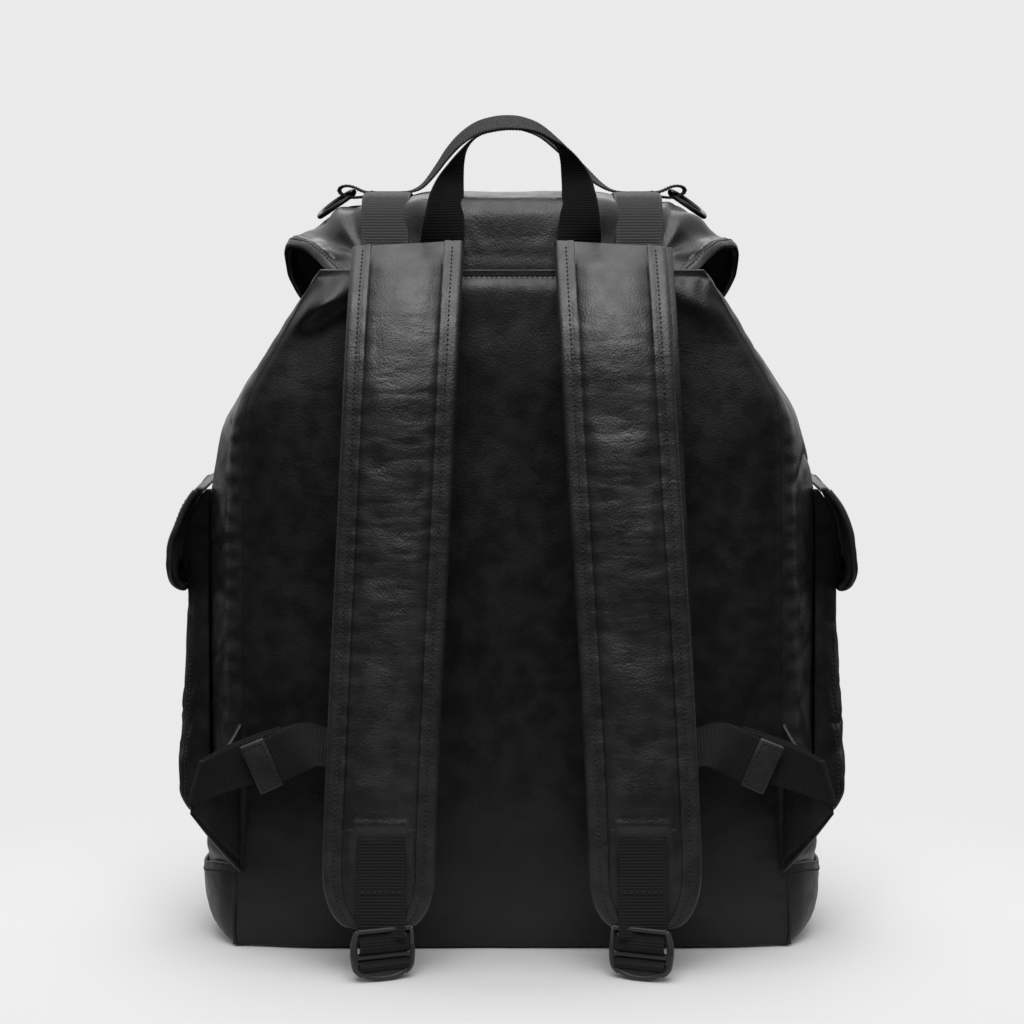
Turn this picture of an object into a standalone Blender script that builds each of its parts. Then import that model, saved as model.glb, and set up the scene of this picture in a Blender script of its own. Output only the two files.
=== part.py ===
"""Leather rucksack: flap lid, side pockets, front pocket, padded shoulder straps.

Frame: metres, +Z up. Origin on the floor under the middle of the bag.
-Y is the wearer's side (back panel and shoulder straps), +Y is the front,
+X is to the right when looking at the back panel.
"""
import math
from collections import namedtuple

import bmesh
import bpy
from mathutils import Matrix, Vector

# ----------------------------------------------------------------- dimensions
SIDES = (("left", -1), ("right", 1))     # name and sign of X

BACK_Y = -0.075          # outer face of the back panel
PANEL_T = 0.002          # back panel thickness
GAP = 0.0003             # clearance between neighbouring pieces
LEATHER_T = 0.0018
POCKET_T = 0.0015
WEB_T = 0.0013           # webbing on the lid, handle and closures
THIN_WEB_T = 0.0011      # webbing at the strap ends
LOWER_WEB_T = 0.0012
WEB_W = 0.026            # webbing width
WEB_X = 0.0695           # lid webbings and closure straps, from the centre
SNAP_R = 0.0065

BOOT_TOP = 0.047         # height of the base boot
PANEL_TOP = 0.375        # top seam of the back panel
BODY_TOP = 0.345         # top of the gussets and front panel
NECK_TOP = 0.372         # top of the drawcord collar

# Body form, each row (height, value). Half width at the back seam:
SEAM_HALF = [
    (0.0, .1555), (.045, .152), (.130, .1490), (.250, .1480), (.290, .1475),
    (.305, .1450), (.317, .1390), (.340, .1255), (.364, .1120), (PANEL_TOP, .1050)]
# Half width that sets the bulge of the sides
SIDE_HALF = [
    (0.0, .1640), (.012, .1705), (.030, .1735), (.047, .1740), (.075, .1720),
    (.130, .1718), (.195, .1715), (.255, .1705), (.275, .1680), (.292, .1635),
    (.311, .1555), (.330, .1425), (.345, .1275), (.364, .1135), (.375, .1060)]
# Half width at the front seam
FRONT_HALF = [
    (0.0, .150), (.047, .152), (.130, .150), (.255, .146), (.300, .136),
    (.345, .114), (.375, .097)]
# Y of the front seam
FRONT_Y = [
    (0.0, .050), (.047, .054), (.150, .056), (.250, .054), (.300, .049),
    (.345, .040), (.375, .033)]
FRONT_CROWN = 0.006      # the front's bulge at its middle
SIDE_SHARE = 0.36        # share of the path round the body taken by each side
BODY_ROWS = [0.0478, 0.085, 0.130, 0.195, 0.235, 0.262, 0.285, 0.300, 0.315, 0.330, BODY_TOP]

# ------------------------------------------------------------------ materials
Finish = namedtuple("Finish", "color roughness metallic", defaults=(0.0,))

BLACK = (0.018, 0.018, 0.019)
WEB_COLOR = (0.025, 0.025, 0.027)
PLASTIC = (0.02, 0.02, 0.022)
METAL = (0.05, 0.05, 0.055)

LEATHER = Finish(color=BLACK, roughness=0.45)
BOOT_LEATHER = Finish(color=BLACK, roughness=0.4)
WEBBING = Finish(color=WEB_COLOR, roughness=0.8)
CORD = Finish(color=WEB_COLOR, roughness=0.45)
FOAM = Finish(color=(0.10, 0.10, 0.11), roughness=0.9)
LINING = Finish(color=(0.05, 0.05, 0.055), roughness=0.8)
BOARD = Finish(color=(0.2, 0.17, 0.13), roughness=0.8)
LOCK_PLASTIC = Finish(color=PLASTIC, roughness=0.5)
BUTTON_PLASTIC = Finish(color=PLASTIC, roughness=0.4)
BUCKLE_PLASTIC = Finish(color=PLASTIC, roughness=0.35)
EYELET_METAL = Finish(color=METAL, roughness=0.3, metallic=0.9)
SNAP_METAL = Finish(color=METAL, roughness=0.4, metallic=0.8)
RING_METAL = Finish(color=METAL, roughness=0.45, metallic=0.6)


def make_material(name, finish):
    material = bpy.data.materials.new(name)
    material.use_nodes = True
    shader = material.node_tree.nodes["Principled BSDF"]
    shader.inputs["Base Color"].default_value = (*finish.color, 1.0)
    shader.inputs["Roughness"].default_value = finish.roughness
    shader.inputs["Metallic"].default_value = finish.metallic
    return material


# --------------------------------------------------------- tables and polylines
def table(rows, place):
    """Linear value between the rows of a (place, value) table, held at its ends."""
    if place <= rows[0][0]:
        return rows[0][1]
    for (start, low), (end, high) in zip(rows, rows[1:]):
        if place <= end:
            return low + (high - low) * (place - start) / (end - start)
    return rows[-1][1]


def row_value(v, rows):
    """Value at fraction v of a list whose entries are evenly spaced in v."""
    place = v * (len(rows) - 1)
    i = min(int(place + 1e-6), len(rows) - 2)
    return rows[i] + (rows[i + 1] - rows[i]) * (place - i)


def smooth(t):
    """Ease from 0 to 1, clamped outside."""
    t = max(0.0, min(1.0, t))
    return t * t * (3 - 2 * t)


def locate(points, t):
    """Segment of a polyline, and fraction along it, at fraction t of its length."""
    steps = [(Vector(b) - Vector(a)).length for a, b in zip(points, points[1:])]
    want = max(0.0, min(1.0, t)) * sum(steps)
    for i, step in enumerate(steps):
        if want <= step:
            return i, want / step
        want -= step
    return len(steps) - 1, 1.0


def along(points, t):
    """Point at fraction t of the length of a polyline."""
    i, fraction = locate(points, t)
    return Vector(points[i]).lerp(Vector(points[i + 1]), fraction)


def in_yz(rows):
    """Polyline in the plane x = 0 from (y, z) rows."""
    return [Vector((0, y, z)) for y, z in rows]


def mirrored(points):
    """A left half ending on the centre plane, joined to its mirror image."""
    return points + [(-x, y, z) for x, y, z in reversed(points[:-1])]


# ------------------------------------------------------------- object builders
def add_object(name, data, finish, parent=None):
    """Link mesh or curve data as an object with its own material."""
    data.materials.append(make_material(name, finish))
    obj = bpy.data.objects.new(name, data)
    parts.objects.link(obj)
    if parent:
        obj.parent = parent
    return obj


def origin_of(parent):
    return Vector(parent.location) if parent else Vector()


def add_mesh(name, bm, finish, parent=None, smooth_shaded=True):
    """Turn a bmesh in world coordinates into an object, under its joint if it has one."""
    shift = Matrix.Translation(-origin_of(parent))
    bmesh.ops.transform(bm, matrix=shift, verts=bm.verts[:])
    mesh = bpy.data.meshes.new(name)
    bm.to_mesh(mesh)
    bm.free()
    obj = add_object(name, mesh, finish, parent)
    if smooth_shaded:
        mesh.shade_smooth()
        mesh.set_sharp_from_angle(angle=math.radians(40))
    return obj


def joint(name, position):
    """An empty that moving pieces hang from."""
    empty = bpy.data.objects.new(name, None)
    empty.location = position
    empty.empty_display_size = 0.02
    parts.objects.link(empty)
    return empty


def thicken(obj, thickness, offset=-1.0):
    solid = obj.modifiers.new("thickness", "SOLIDIFY")
    solid.thickness = thickness
    solid.offset = offset
    solid.use_even_offset = True


def sheet(name, columns, rows, surface, thickness, finish=LEATHER, parent=None, behind=True):
    """A grid bent onto surface(u, v), thickened behind or ahead of its face normals."""
    bm = bmesh.new()
    bmesh.ops.create_grid(bm, x_segments=columns, y_segments=rows, size=1.0)
    for vert in bm.verts:
        vert.co = Vector(surface((vert.co.x + 1) / 2, (vert.co.y + 1) / 2))
    bmesh.ops.remove_doubles(bm, verts=bm.verts[:], dist=1e-5)
    obj = add_mesh(name, bm, finish, parent)
    thicken(obj, thickness, -1.0 if behind else 1.0)
    return obj


def tape(centre_x, point_at):
    """Surface of webbing that lies across X and follows point_at(v) in Y and Z."""
    def surface(u, v):
        point = point_at(v)
        return (centre_x + (u - 0.5) * WEB_W, point.y, point.z)
    return surface


def tray(name, rings, floor_back, thickness, finish=LEATHER, turn_walls=False):
    """Open walls through rings of points, with a floor from the lowest ring.

    floor_back lists the points that finish the floor's edge where there is no wall.
    turn_walls winds the wall faces the other way round from their first corner.
    """
    bm = bmesh.new()
    rings = [[bm.verts.new(point) for point in ring] for ring in rings]
    for low, high in zip(rings, rings[1:]):
        for i in range(len(low) - 1):
            corners = (low[i], low[i + 1], high[i + 1], high[i])
            if turn_walls:
                corners = (low[i], high[i], high[i + 1], low[i + 1])
            bm.faces.new(corners)
    floor = bm.faces.new(rings[0] + [bm.verts.new(point) for point in floor_back])
    bmesh.ops.recalc_face_normals(bm, faces=bm.faces[:])
    if floor.normal.z > 0:               # the floor must face down
        bmesh.ops.reverse_faces(bm, faces=bm.faces[:])
    thicken(add_mesh(name, bm, finish), thickness)


def block(low, high, bevel=0.0):
    """Bmesh of a box between two corners, with bevelled edges if asked."""
    low, high = Vector(low), Vector(high)
    bm = bmesh.new()
    bmesh.ops.create_cube(bm, size=1.0)
    bmesh.ops.scale(bm, vec=high - low, verts=bm.verts[:])
    if bevel:
        bmesh.ops.bevel(bm, geom=bm.edges[:], offset=bevel, segments=1, affect="EDGES",
                        profile=0.5)
    bmesh.ops.translate(bm, vec=(low + high) / 2, verts=bm.verts[:])
    return bm


def rod(centre, axis, radius, depth, segments=12):
    """Bmesh of a cylinder with its axis along a direction."""
    bm = bmesh.new()
    bmesh.ops.create_cone(bm, cap_ends=True, segments=segments, radius1=radius,
                          radius2=radius, depth=depth)
    spin = Vector((0, 0, 1)).rotation_difference(Vector(axis)).to_matrix().to_4x4()
    bmesh.ops.transform(bm, matrix=Matrix.Translation(Vector(centre)) @ spin, verts=bm.verts[:])
    return bm


def snap(name, centre, axis, radius, depth, parent=None):
    """One disc of a press stud."""
    add_mesh(name, rod(centre, axis, radius, depth, segments=16), SNAP_METAL, parent)


def poly_curve(name, dimensions, points, cyclic):
    curve = bpy.data.curves.new(name, "CURVE")
    curve.dimensions = dimensions
    spline = curve.splines.new("POLY")
    spline.points.add(len(points) - 1)
    for spline_point, place in zip(spline.points, points):
        spline_point.co = (*place, 1.0)
    spline.use_cyclic_u = cyclic
    return curve


def wire(name, points, radius, finish, cyclic=False, parent=None):
    """A round wire or cord with filled caps."""
    origin = origin_of(parent)
    curve = poly_curve(name, "3D", [Vector(place) - origin for place in points], cyclic)
    curve.bevel_depth = radius
    curve.bevel_resolution = 1
    curve.use_fill_caps = True
    add_object(name, curve, finish, parent)


def flat(name, points, y_outer, thickness, finish=LEATHER):
    """A flat (x, z) outline in the XZ plane, with its outer face at y_outer."""
    curve = poly_curve(name, "2D", [(x, z, 0.0) for x, z in points], True)
    curve.fill_mode = "BOTH"
    curve.extrude = thickness / 2
    obj = add_object(name, curve, finish)
    obj.rotation_euler = (math.radians(90), 0, 0)
    obj.location = (0, y_outer + thickness / 2, 0)


def cut(obj, cutter_name, bm):
    """Boolean difference with a hidden cutter."""
    mesh = bpy.data.meshes.new(cutter_name)
    bm.to_mesh(mesh)
    bm.free()
    cutter = bpy.data.objects.new(cutter_name, mesh)
    cutter.hide_render = True
    cutter.display_type = "WIRE"
    cutters.objects.link(cutter)
    modifier = obj.modifiers.new("cut_" + cutter_name, "BOOLEAN")
    modifier.object = cutter
    modifier.operation = "DIFFERENCE"
    modifier.solver = "EXACT"


# ------------------------------------------------------------- the body's form
def side_point(t, z):
    """Right side of the body: t runs 0..1 from the back seam to the front seam."""
    seam, side, front = table(SEAM_HALF, z), table(SIDE_HALF, z), table(FRONT_HALF, z)
    if t <= 0:
        x = seam
    elif t >= 1:
        x = front
    else:
        skewed = t ** 0.8                # sets the fullest point behind the middle
        bulge = side - seam - (front - seam) * 0.4
        x = seam + (front - seam) * t + bulge * 4 * skewed * (1 - skewed)
    y_back = BACK_Y + PANEL_T + GAP
    return Vector((x, y_back + (table(FRONT_Y, z) - GAP - y_back) * t, z))


def side_x(y, z):
    """Outer x of the right side at a given y and height, by bisection."""
    low, high = 0.0, 1.0
    for _ in range(30):
        middle = (low + high) / 2
        if side_point(middle, z).y < y:
            low = middle
        else:
            high = middle
    return side_point(low, z).x


def front_point(across, z):
    """Front of the body: across runs -1..1 from left to right, with a shallow crown."""
    y = table(FRONT_Y, z) + FRONT_CROWN * (1 - across * across)
    return Vector((across * table(FRONT_HALF, z), y, z))


def front_y(x, z):
    return front_point(x / table(FRONT_HALF, z), z).y


def wrap_point(u, z, grow=0.0):
    """Path round sides and front: u runs 0..1 from back left to back right."""
    if u < SIDE_SHARE:
        point = side_point(u / SIDE_SHARE, z)
        point.x = -point.x
    elif u > 1 - SIDE_SHARE:
        point = side_point((1 - u) / SIDE_SHARE, z)
    else:
        point = front_point((u - 0.5) / (0.5 - SIDE_SHARE), z)
    centre = Vector((0, -0.01, z))
    out = point - centre
    scale = 1 + grow / out.length
    # points on the back seam keep their y
    y = centre.y + out.y * scale if point.y > -0.07 else point.y
    return Vector((out.x * scale, y, z))


# ----------------------------------------------------------------- back panel
YOKE_HALF, YOKE_BASE, YOKE_TOP = 0.0985, PANEL_TOP + 0.0005, 0.3895


def back_outline(inset, bottom, top):
    """Closed outline of the back panel, pulled in by inset, between two heights."""
    heights = [bottom] + [z for z, _ in SEAM_HALF if bottom < z < top] + [top]
    right = [(table(SEAM_HALF, z) - inset, z) for z in heights]
    return right + [(-x, z) for x, z in reversed(right)]


def build_back():
    flat("back_panel", back_outline(0.0, 0.0022, PANEL_TOP), BACK_Y, PANEL_T)
    flat("back_foam", back_outline(0.010, 0.0075, 0.362), BACK_Y + 0.0024, 0.006, FOAM)
    flat("back_lining", back_outline(0.009, 0.0065, 0.366), BACK_Y + 0.0088, 0.0010, LINING)
    yoke = [(YOKE_HALF, YOKE_BASE), (YOKE_HALF, YOKE_TOP),
            (-YOKE_HALF, YOKE_TOP), (-YOKE_HALF, YOKE_BASE)]
    flat("back_yoke", yoke, BACK_Y + 0.0003, 0.002)


# --------------------------------------------------------- sides, front, boot
FRONT_EDGE_INSET = 0.0032                # front panel edge, in from the seam
# Base boot wall: (height, outward growth)
BOOT_ROWS = [(0.0, -0.009), (0.0025, -0.0030), (0.010, 0.0), (0.028, 0.0), (BOOT_TOP, 0.0)]
BOOT_STEPS = 26


def build_gusset(side, sign):
    def gusset(u, v):
        point = side_point(u, row_value(v, BODY_ROWS))
        return (sign * point.x, point.y, point.z)
    sheet("side_gusset_" + side, 7, len(BODY_ROWS) - 1, gusset, LEATHER_T, behind=sign > 0)


def build_front_panel():
    def front(u, v):
        z = row_value(v, BODY_ROWS)
        return front_point((u * 2 - 1) * (1 - FRONT_EDGE_INSET / table(FRONT_HALF, z)), z)
    sheet("front_panel", 8, len(BODY_ROWS) - 1, front, LEATHER_T, behind=False)


def build_base():
    """Boot, a tray without a back wall, and the board inside it."""
    rings = [[wrap_point(i / BOOT_STEPS, z, grow) for i in range(BOOT_STEPS + 1)]
             for z, grow in BOOT_ROWS]
    tray("base_boot", rings, [], LEATHER_T, BOOT_LEATHER, turn_walls=True)
    board = block((-0.143, BACK_Y + 0.012, 0.0024), (0.143, 0.042, 0.0044), bevel=0.0006)
    add_mesh("base_board", board, BOARD, smooth_shaded=False)


# ------------------------------------------------- collar, drawcord, cord lock
NECK_ROWS = [BODY_TOP + 0.0008, 0.355, 0.364, NECK_TOP]
CORD_Z, CORD_R = 0.3600, 0.0016
CORD_INSET = 0.0105                      # cord inside the collar
EYE_X = 0.010
EYE_Y = front_y(EYE_X, CORD_Z)
HANG_X = 0.0048                          # hanging cord ends
HANG_Y = EYE_Y + 0.0165
HANG_END_Z = 0.302
# Eyelet washer section: (radius, height)
EYELET_SECTION = [(0.0024, 0.0), (0.0044, 0.0), (0.0044, 0.0008), (0.0024, 0.0012)]
LOCK_Z = 0.3365
LOCK_HALF_X, LOCK_HALF_Z = 0.0100, 0.0075


def build_collar():
    def neck(u, v):
        return wrap_point(u, row_value(v, NECK_ROWS))
    collar = sheet("neck_collar", 24, 3, neck, LEATHER_T, behind=False)
    for side, sign in SIDES:
        hole = rod((sign * EYE_X, EYE_Y - 0.001, CORD_Z), (0, 1, 0), 0.0026, 0.02)
        cut(collar, "eyelet_hole_" + side, hole)


def build_drawcord():
    """Cord inside the collar from the back, out through the eyelets, two hanging ends."""
    left = []
    for i in range(23):
        point = wrap_point(0.03 + 0.44 * i / 22, CORD_Z, -CORD_INSET)
        if point.x < -0.013:             # stop short of the eyelet
            left.append((point.x, max(point.y, BACK_Y + 0.016), CORD_Z))
    left += [
        (-EYE_X, EYE_Y - 0.0065, CORD_Z),
        (-EYE_X, EYE_Y + 0.0100, CORD_Z),
        (-EYE_X * 0.85, HANG_Y - 0.0015, CORD_Z - 0.004),
        (-HANG_X, HANG_Y, CORD_Z - 0.013),
        (-HANG_X, HANG_Y, HANG_END_Z)]
    right = [(-x, y, z) for x, y, z in left]
    wire("drawcord", left[::-1] + right, CORD_R, CORD)


def build_eyelet(side, sign):
    """A turned washer with its axis along Y, leaning with the collar."""
    ring = bmesh.new()
    verts = [ring.verts.new((radius, 0, height)) for radius, height in EYELET_SECTION]
    for i in range(4):
        ring.edges.new((verts[i], verts[(i + 1) % 4]))
    bmesh.ops.spin(ring, geom=ring.verts[:] + ring.edges[:], cent=(0, 0, 0), axis=(0, 0, 1),
                   angle=math.tau, steps=14, use_merge=True)
    bmesh.ops.recalc_face_normals(ring, faces=ring.faces[:])
    slope = math.atan2(table(FRONT_Y, 0.350) - table(FRONT_Y, 0.370), 0.020)
    place = (Matrix.Translation((sign * EYE_X, EYE_Y + 0.0010, CORD_Z))
             @ Matrix.Rotation(math.radians(-90) + slope, 4, "X"))
    bmesh.ops.transform(ring, matrix=place, verts=ring.verts[:])
    add_mesh("eyelet_" + side, ring, EYELET_METAL)


def build_cord_lock():
    slide = joint("cord_lock_slide", (0.0, HANG_Y, LOCK_Z))
    body = block((-LOCK_HALF_X, HANG_Y - 0.0035, LOCK_Z - LOCK_HALF_Z),
                 (LOCK_HALF_X, HANG_Y + 0.0075, LOCK_Z + LOCK_HALF_Z), bevel=0.0015)
    lock = add_mesh("cord_lock", body, LOCK_PLASTIC, slide, smooth_shaded=False)
    for side, sign in SIDES:
        hole = rod((sign * HANG_X, HANG_Y, LOCK_Z), (0, 0, 1), 0.0021, 0.05)
        cut(lock, "cord_hole_" + side, hole)
    cut(lock, "button_bore",
        rod((0, HANG_Y + 0.0060, LOCK_Z), (0, 1, 0), 0.0034, 0.0070, segments=14))
    press = joint("cord_lock_button_slide", (0.0, HANG_Y + 0.0095, LOCK_Z))
    button = rod((0, HANG_Y + 0.00785, LOCK_Z), (0, 1, 0), 0.0030, 0.0038, segments=14)
    add_mesh("cord_lock_button", button, BUTTON_PLASTIC, press)


# -------------------------------------------------------------- side pockets
POCKET_HALF_Y = 0.041
POCKET_BASE, POCKET_RIM = 0.0505, 0.213
# (height, x of the outer face)
POCKET_ROWS = [
    (POCKET_BASE, 0.184), (0.056, 0.1885), (0.075, 0.1915), (0.130, 0.1885),
    (0.185, 0.1845), (POCKET_RIM, 0.1825)]
FLAP_HINGE = (0.1735, 0.0, 0.2570)
FLAP_HALF_Y = 0.045
# Flap section from hinge to tip: (x, y, z)
SIDE_FLAP = [
    (0.1745, 0, 0.2560), (0.1810, 0, 0.2540), (0.1880, 0, 0.2450), (0.1935, 0, 0.2300),
    (0.1965, 0, 0.2120), (0.1960, 0, 0.2020), (0.1925, 0, 0.1960)]


def side_pocket_ring(sign, z, outer):
    """Seven stations from the gusset, round the pocket's outer face and back."""
    half = POCKET_HALF_Y
    stations = [
        (side_x(-half, z) + 0.0012, -half),
        (outer - 0.009, -half + 0.0005),
        (outer - 0.0025, -half + 0.005),
        (outer, 0.0),
        (outer - 0.0025, half - 0.005),
        (outer - 0.009, half - 0.0005),
        (side_x(half, z) + 0.0012, half)]
    return [(sign * x, y, z) for x, y in stations]


def build_side_pocket(side, sign):
    # the floor follows the bulge of the gusset
    floor_back = [(sign * (side_x(y, POCKET_BASE) + 0.0009), y, POCKET_BASE)
                  for y in (0.030, 0.018, 0.0, -0.018, -0.030)]
    rings = [side_pocket_ring(sign, z, outer) for z, outer in POCKET_ROWS]
    tray("side_pocket_" + side, rings, floor_back, POCKET_T)
    snap("side_pocket_snap_" + side, (sign * 0.1861, 0, 0.2030), (1, 0, 0), SNAP_R, 0.0014 + 0.0002)


def build_side_flap(side, sign):
    hinge = joint("side_flap_hinge_" + side, (sign * FLAP_HINGE[0], *FLAP_HINGE[1:]))

    def leaf(u, v):
        point = along(SIDE_FLAP, v)
        across = u * 2 - 1
        half = FLAP_HALF_Y * (1 - 0.28 * smooth((v - 0.70) / 0.30) ** 1.5)
        droop = 0.0030 * across ** 2 * smooth(v * 3)
        return (sign * (point.x - droop), across * half, point.z)
    sheet("side_pocket_flap_" + side, 6, 8, leaf, LEATHER_T, parent=hinge, behind=sign > 0)
    snap("side_flap_snap_" + side, (sign * 0.1898, 0, 0.2050), (1, 0, 0), SNAP_R, 0.0016, hinge)


# -------------------------------------------------------------- front pocket
FRONT_POCKET_HALF = 0.092
FRONT_POCKET_Y = 0.091
# (height, outward growth)
FRONT_POCKET_ROWS = [
    (0.052, -0.006), (0.058, -0.001), (0.080, 0.0), (0.150, 0.0), (0.205, -0.003)]
FRONT_SNAP_Z, FRONT_SNAP_R = 0.182, 0.0070
FRONT_FLAP_HALF = 0.097
FRONT_FLAP_Z = 0.242
FRONT_FLAP_Y = front_y(0, FRONT_FLAP_Z) + 0.0030
# Flap section from hinge to tip: (y, z)
FRONT_FLAP = in_yz([
    (FRONT_FLAP_Y, FRONT_FLAP_Z),
    (FRONT_FLAP_Y + 0.012, FRONT_FLAP_Z - 0.001),
    (FRONT_FLAP_Y + 0.026, FRONT_FLAP_Z - 0.009),
    (FRONT_POCKET_Y + 0.004, 0.222),
    (FRONT_POCKET_Y + 0.0055, 0.195),
    (FRONT_POCKET_Y + 0.005, 0.166)])


def front_pocket_ring(z, grow):
    """Nine stations from the front panel, round the pocket and back."""
    half, y_out = FRONT_POCKET_HALF + grow, FRONT_POCKET_Y + grow
    foot = front_y(half, z) + 0.0006
    stations = [
        (-half, foot), (-half + 0.0005, y_out - 0.012), (-half + 0.010, y_out - 0.002),
        (-half * 0.45, y_out), (0, y_out + 0.001), (half * 0.45, y_out),
        (half - 0.010, y_out - 0.002), (half - 0.0005, y_out - 0.012), (half, foot)]
    return [(x, y, z) for x, y in stations]


def build_front_pocket():
    # the floor follows the crowned front panel along its back edge
    base_z, base_grow = FRONT_POCKET_ROWS[0]
    half = FRONT_POCKET_HALF + base_grow
    floor_back = [(x, front_y(x, base_z) + 0.0006, base_z) for x in (half / 2, 0.0, -half / 2)]
    rings = [front_pocket_ring(z, grow) for z, grow in FRONT_POCKET_ROWS]
    tray("front_pocket", rings, floor_back, POCKET_T)
    snap("front_pocket_snap", (0, FRONT_POCKET_Y - 0.0048, FRONT_SNAP_Z), (0, 1, 0),
         FRONT_SNAP_R, 0.0014)


def build_front_flap():
    hinge = joint("front_flap_hinge", (0.0, FRONT_FLAP_Y, FRONT_FLAP_Z + 0.002))

    def leaf(u, v):
        point = along(FRONT_FLAP, v)
        across = u * 2 - 1
        half = FRONT_FLAP_HALF * (1 - 0.12 * smooth((v - 0.75) / 0.25))
        return (across * half, point.y - 0.0010 * across * across, point.z)
    sheet("front_pocket_flap", 8, 9, leaf, LEATHER_T, parent=hinge, behind=False)
    snap("front_flap_snap", (0, FRONT_POCKET_Y + 0.00235, FRONT_SNAP_Z), (0, 1, 0),
         FRONT_SNAP_R, 0.0011, hinge)


# ------------------------------------------------------------------------ lid
LID_HINGE = (0.0, -0.0695, 0.3912)
LID_TOP = 0.4165         # crown of the lid
LID_REAR_Z = 0.3925
LID_REAR_Y = -0.0685
LID_FRONT_Y = 0.074
LID_HALF_REAR = 0.099
LID_HALF = 0.127
LID_CORNER = 0.014       # how far the front corners are rounded off
LID_SIDE_HEM = 0.354
LID_FRONT_HEM = 0.330
# Drop below the crown: by distance from the centre, and by y
LID_SIDE_DROP = [
    (.060, 0), (.094, .003), (.105, .008), (.116, .0165), (LID_HALF, .0275), (.140, .06)]
LID_FRONT_DROP = [(.020, 0), (.045, .0045), (.060, .011), (LID_FRONT_Y, .026), (.09, .05)]
# The outline measured from 0 at the front middle to 1 at a rear corner
LID_FRONT_END = 0.34     # the front edge ends and the corner begins
LID_SIDE_START = 0.42    # the corner ends and the side begins
LID_RINGS = [1.0, 0.90, 0.82, 0.62, 0.35, 0.0]    # fractions from spine to edge

# y stations of the lid webbings
LID_WEB_ROWS = [
    LID_REAR_Y + 0.004, -0.058, -0.050, -0.040, -0.030, -0.016, 0.0, 0.020, 0.045, 0.060, 0.070]
# Closure strap from top to tip: (y, z)
CLOSURE = in_yz([
    (LID_FRONT_Y + 0.0022, 0.3385), (LID_FRONT_Y + 0.0020, 0.325), (0.0700, 0.305),
    (0.0655, 0.288), (0.0650, 0.268)])
CLOSURE_SNAP_Z = 0.2770


def lid_top(x, y):
    """Height of the lid's outer surface over its crown."""
    side = table(LID_SIDE_DROP, abs(x))
    ahead = table(LID_FRONT_DROP, y)
    z = LID_TOP - max(side, ahead) - 0.35 * min(side, ahead)
    rise = smooth((y - LID_REAR_Y) / 0.040) ** 0.7
    return LID_REAR_Z + (z - LID_REAR_Z) * rise


def over_lid(x, y, height, step=0.002):
    """A point held at a height above the lid, along its normal."""
    slope_x = (lid_top(x + step, y) - lid_top(x - step, y)) / (2 * step)
    slope_y = (lid_top(x, y + step) - lid_top(x, y - step)) / (2 * step)
    normal = Vector((-slope_x, -slope_y, 1)).normalized()
    return Vector((x, y, lid_top(x, y))) + normal * height


def lid_edge(u):
    """Plan outline of the lid, rear left round the front to rear right, and its hem height."""
    place = abs(u * 2 - 1)
    sign = -1 if u < 0.5 else 1
    if place > LID_SIDE_START:
        t = (1 - place) / (1 - LID_SIDE_START)
        y = LID_REAR_Y + (LID_FRONT_Y - LID_CORNER - LID_REAR_Y) * t
        x = LID_HALF_REAR + (LID_HALF - LID_HALF_REAR) * smooth(t / 0.40)
        hem = LID_REAR_Z - (LID_REAR_Z - LID_SIDE_HEM) * smooth((t - 0.04) / 0.75)
    elif place > LID_FRONT_END:
        t = (place - LID_FRONT_END) / (LID_SIDE_START - LID_FRONT_END)
        y = LID_FRONT_Y - LID_CORNER * t * t
        x = LID_HALF - LID_CORNER * (1 - t) ** 2
        hem = LID_SIDE_HEM + (LID_FRONT_HEM - LID_SIDE_HEM) * (1 - t)
    else:
        y = LID_FRONT_Y
        x = (LID_HALF - LID_CORNER) * place / LID_FRONT_END
        hem = LID_FRONT_HEM
    return Vector((sign * x, y)), hem


def lid_surface(u, v):
    """Rows of the lid: the hem, then rings shrinking from the edge to the spine."""
    edge, hem = lid_edge(u)
    row = v * len(LID_RINGS)
    if row < 0.5:                        # the hem hangs below the edge ring
        z = min(hem, lid_top(edge.x, edge.y) - 0.0035)
        tuck = 1 - 0.015 * smooth((edge.y - LID_REAR_Y) / 0.03)
        return (edge.x * tuck, edge.y - (0.001 if edge.y > 0.06 else 0), z)
    at_rear = edge.y <= LID_REAR_Y + 1e-6
    spine = Vector((0, LID_REAR_Y if at_rear else min(0.030, edge.y * 0.75)))
    point = spine.lerp(edge, LID_RINGS[int(round(row)) - 1])
    return (point.x, point.y, lid_top(point.x, point.y))


def build_lid_webbing(side, sign, lid):
    inner_x = sign * (WEB_X - WEB_W / 2)

    def above_lid(v):
        return over_lid(inner_x, row_value(v, LID_WEB_ROWS), 0.0027)
    sheet("lid_webbing_" + side, 2, 10, tape(sign * WEB_X, above_lid), WEB_T, WEBBING, lid)


def build_closure(side, sign):
    x = sign * WEB_X
    hinge = joint("closure_hinge_" + side, (x, LID_FRONT_Y + 0.0035, 0.3395))
    strap = tape(x, lambda v: along(CLOSURE, v))
    sheet("closure_strap_" + side, 2, 6, strap, WEB_T, WEBBING, hinge, behind=False)
    snap("closure_snap_cap_" + side, (x, 0.0625, CLOSURE_SNAP_Z), (0, 1, 0), SNAP_R, 0.0015, hinge)
    base_y = front_y(WEB_X, CLOSURE_SNAP_Z) + 0.0021
    snap("closure_snap_base_" + side, (x, base_y, CLOSURE_SNAP_Z), (0, 1, 0), SNAP_R, 0.0014)


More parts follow.
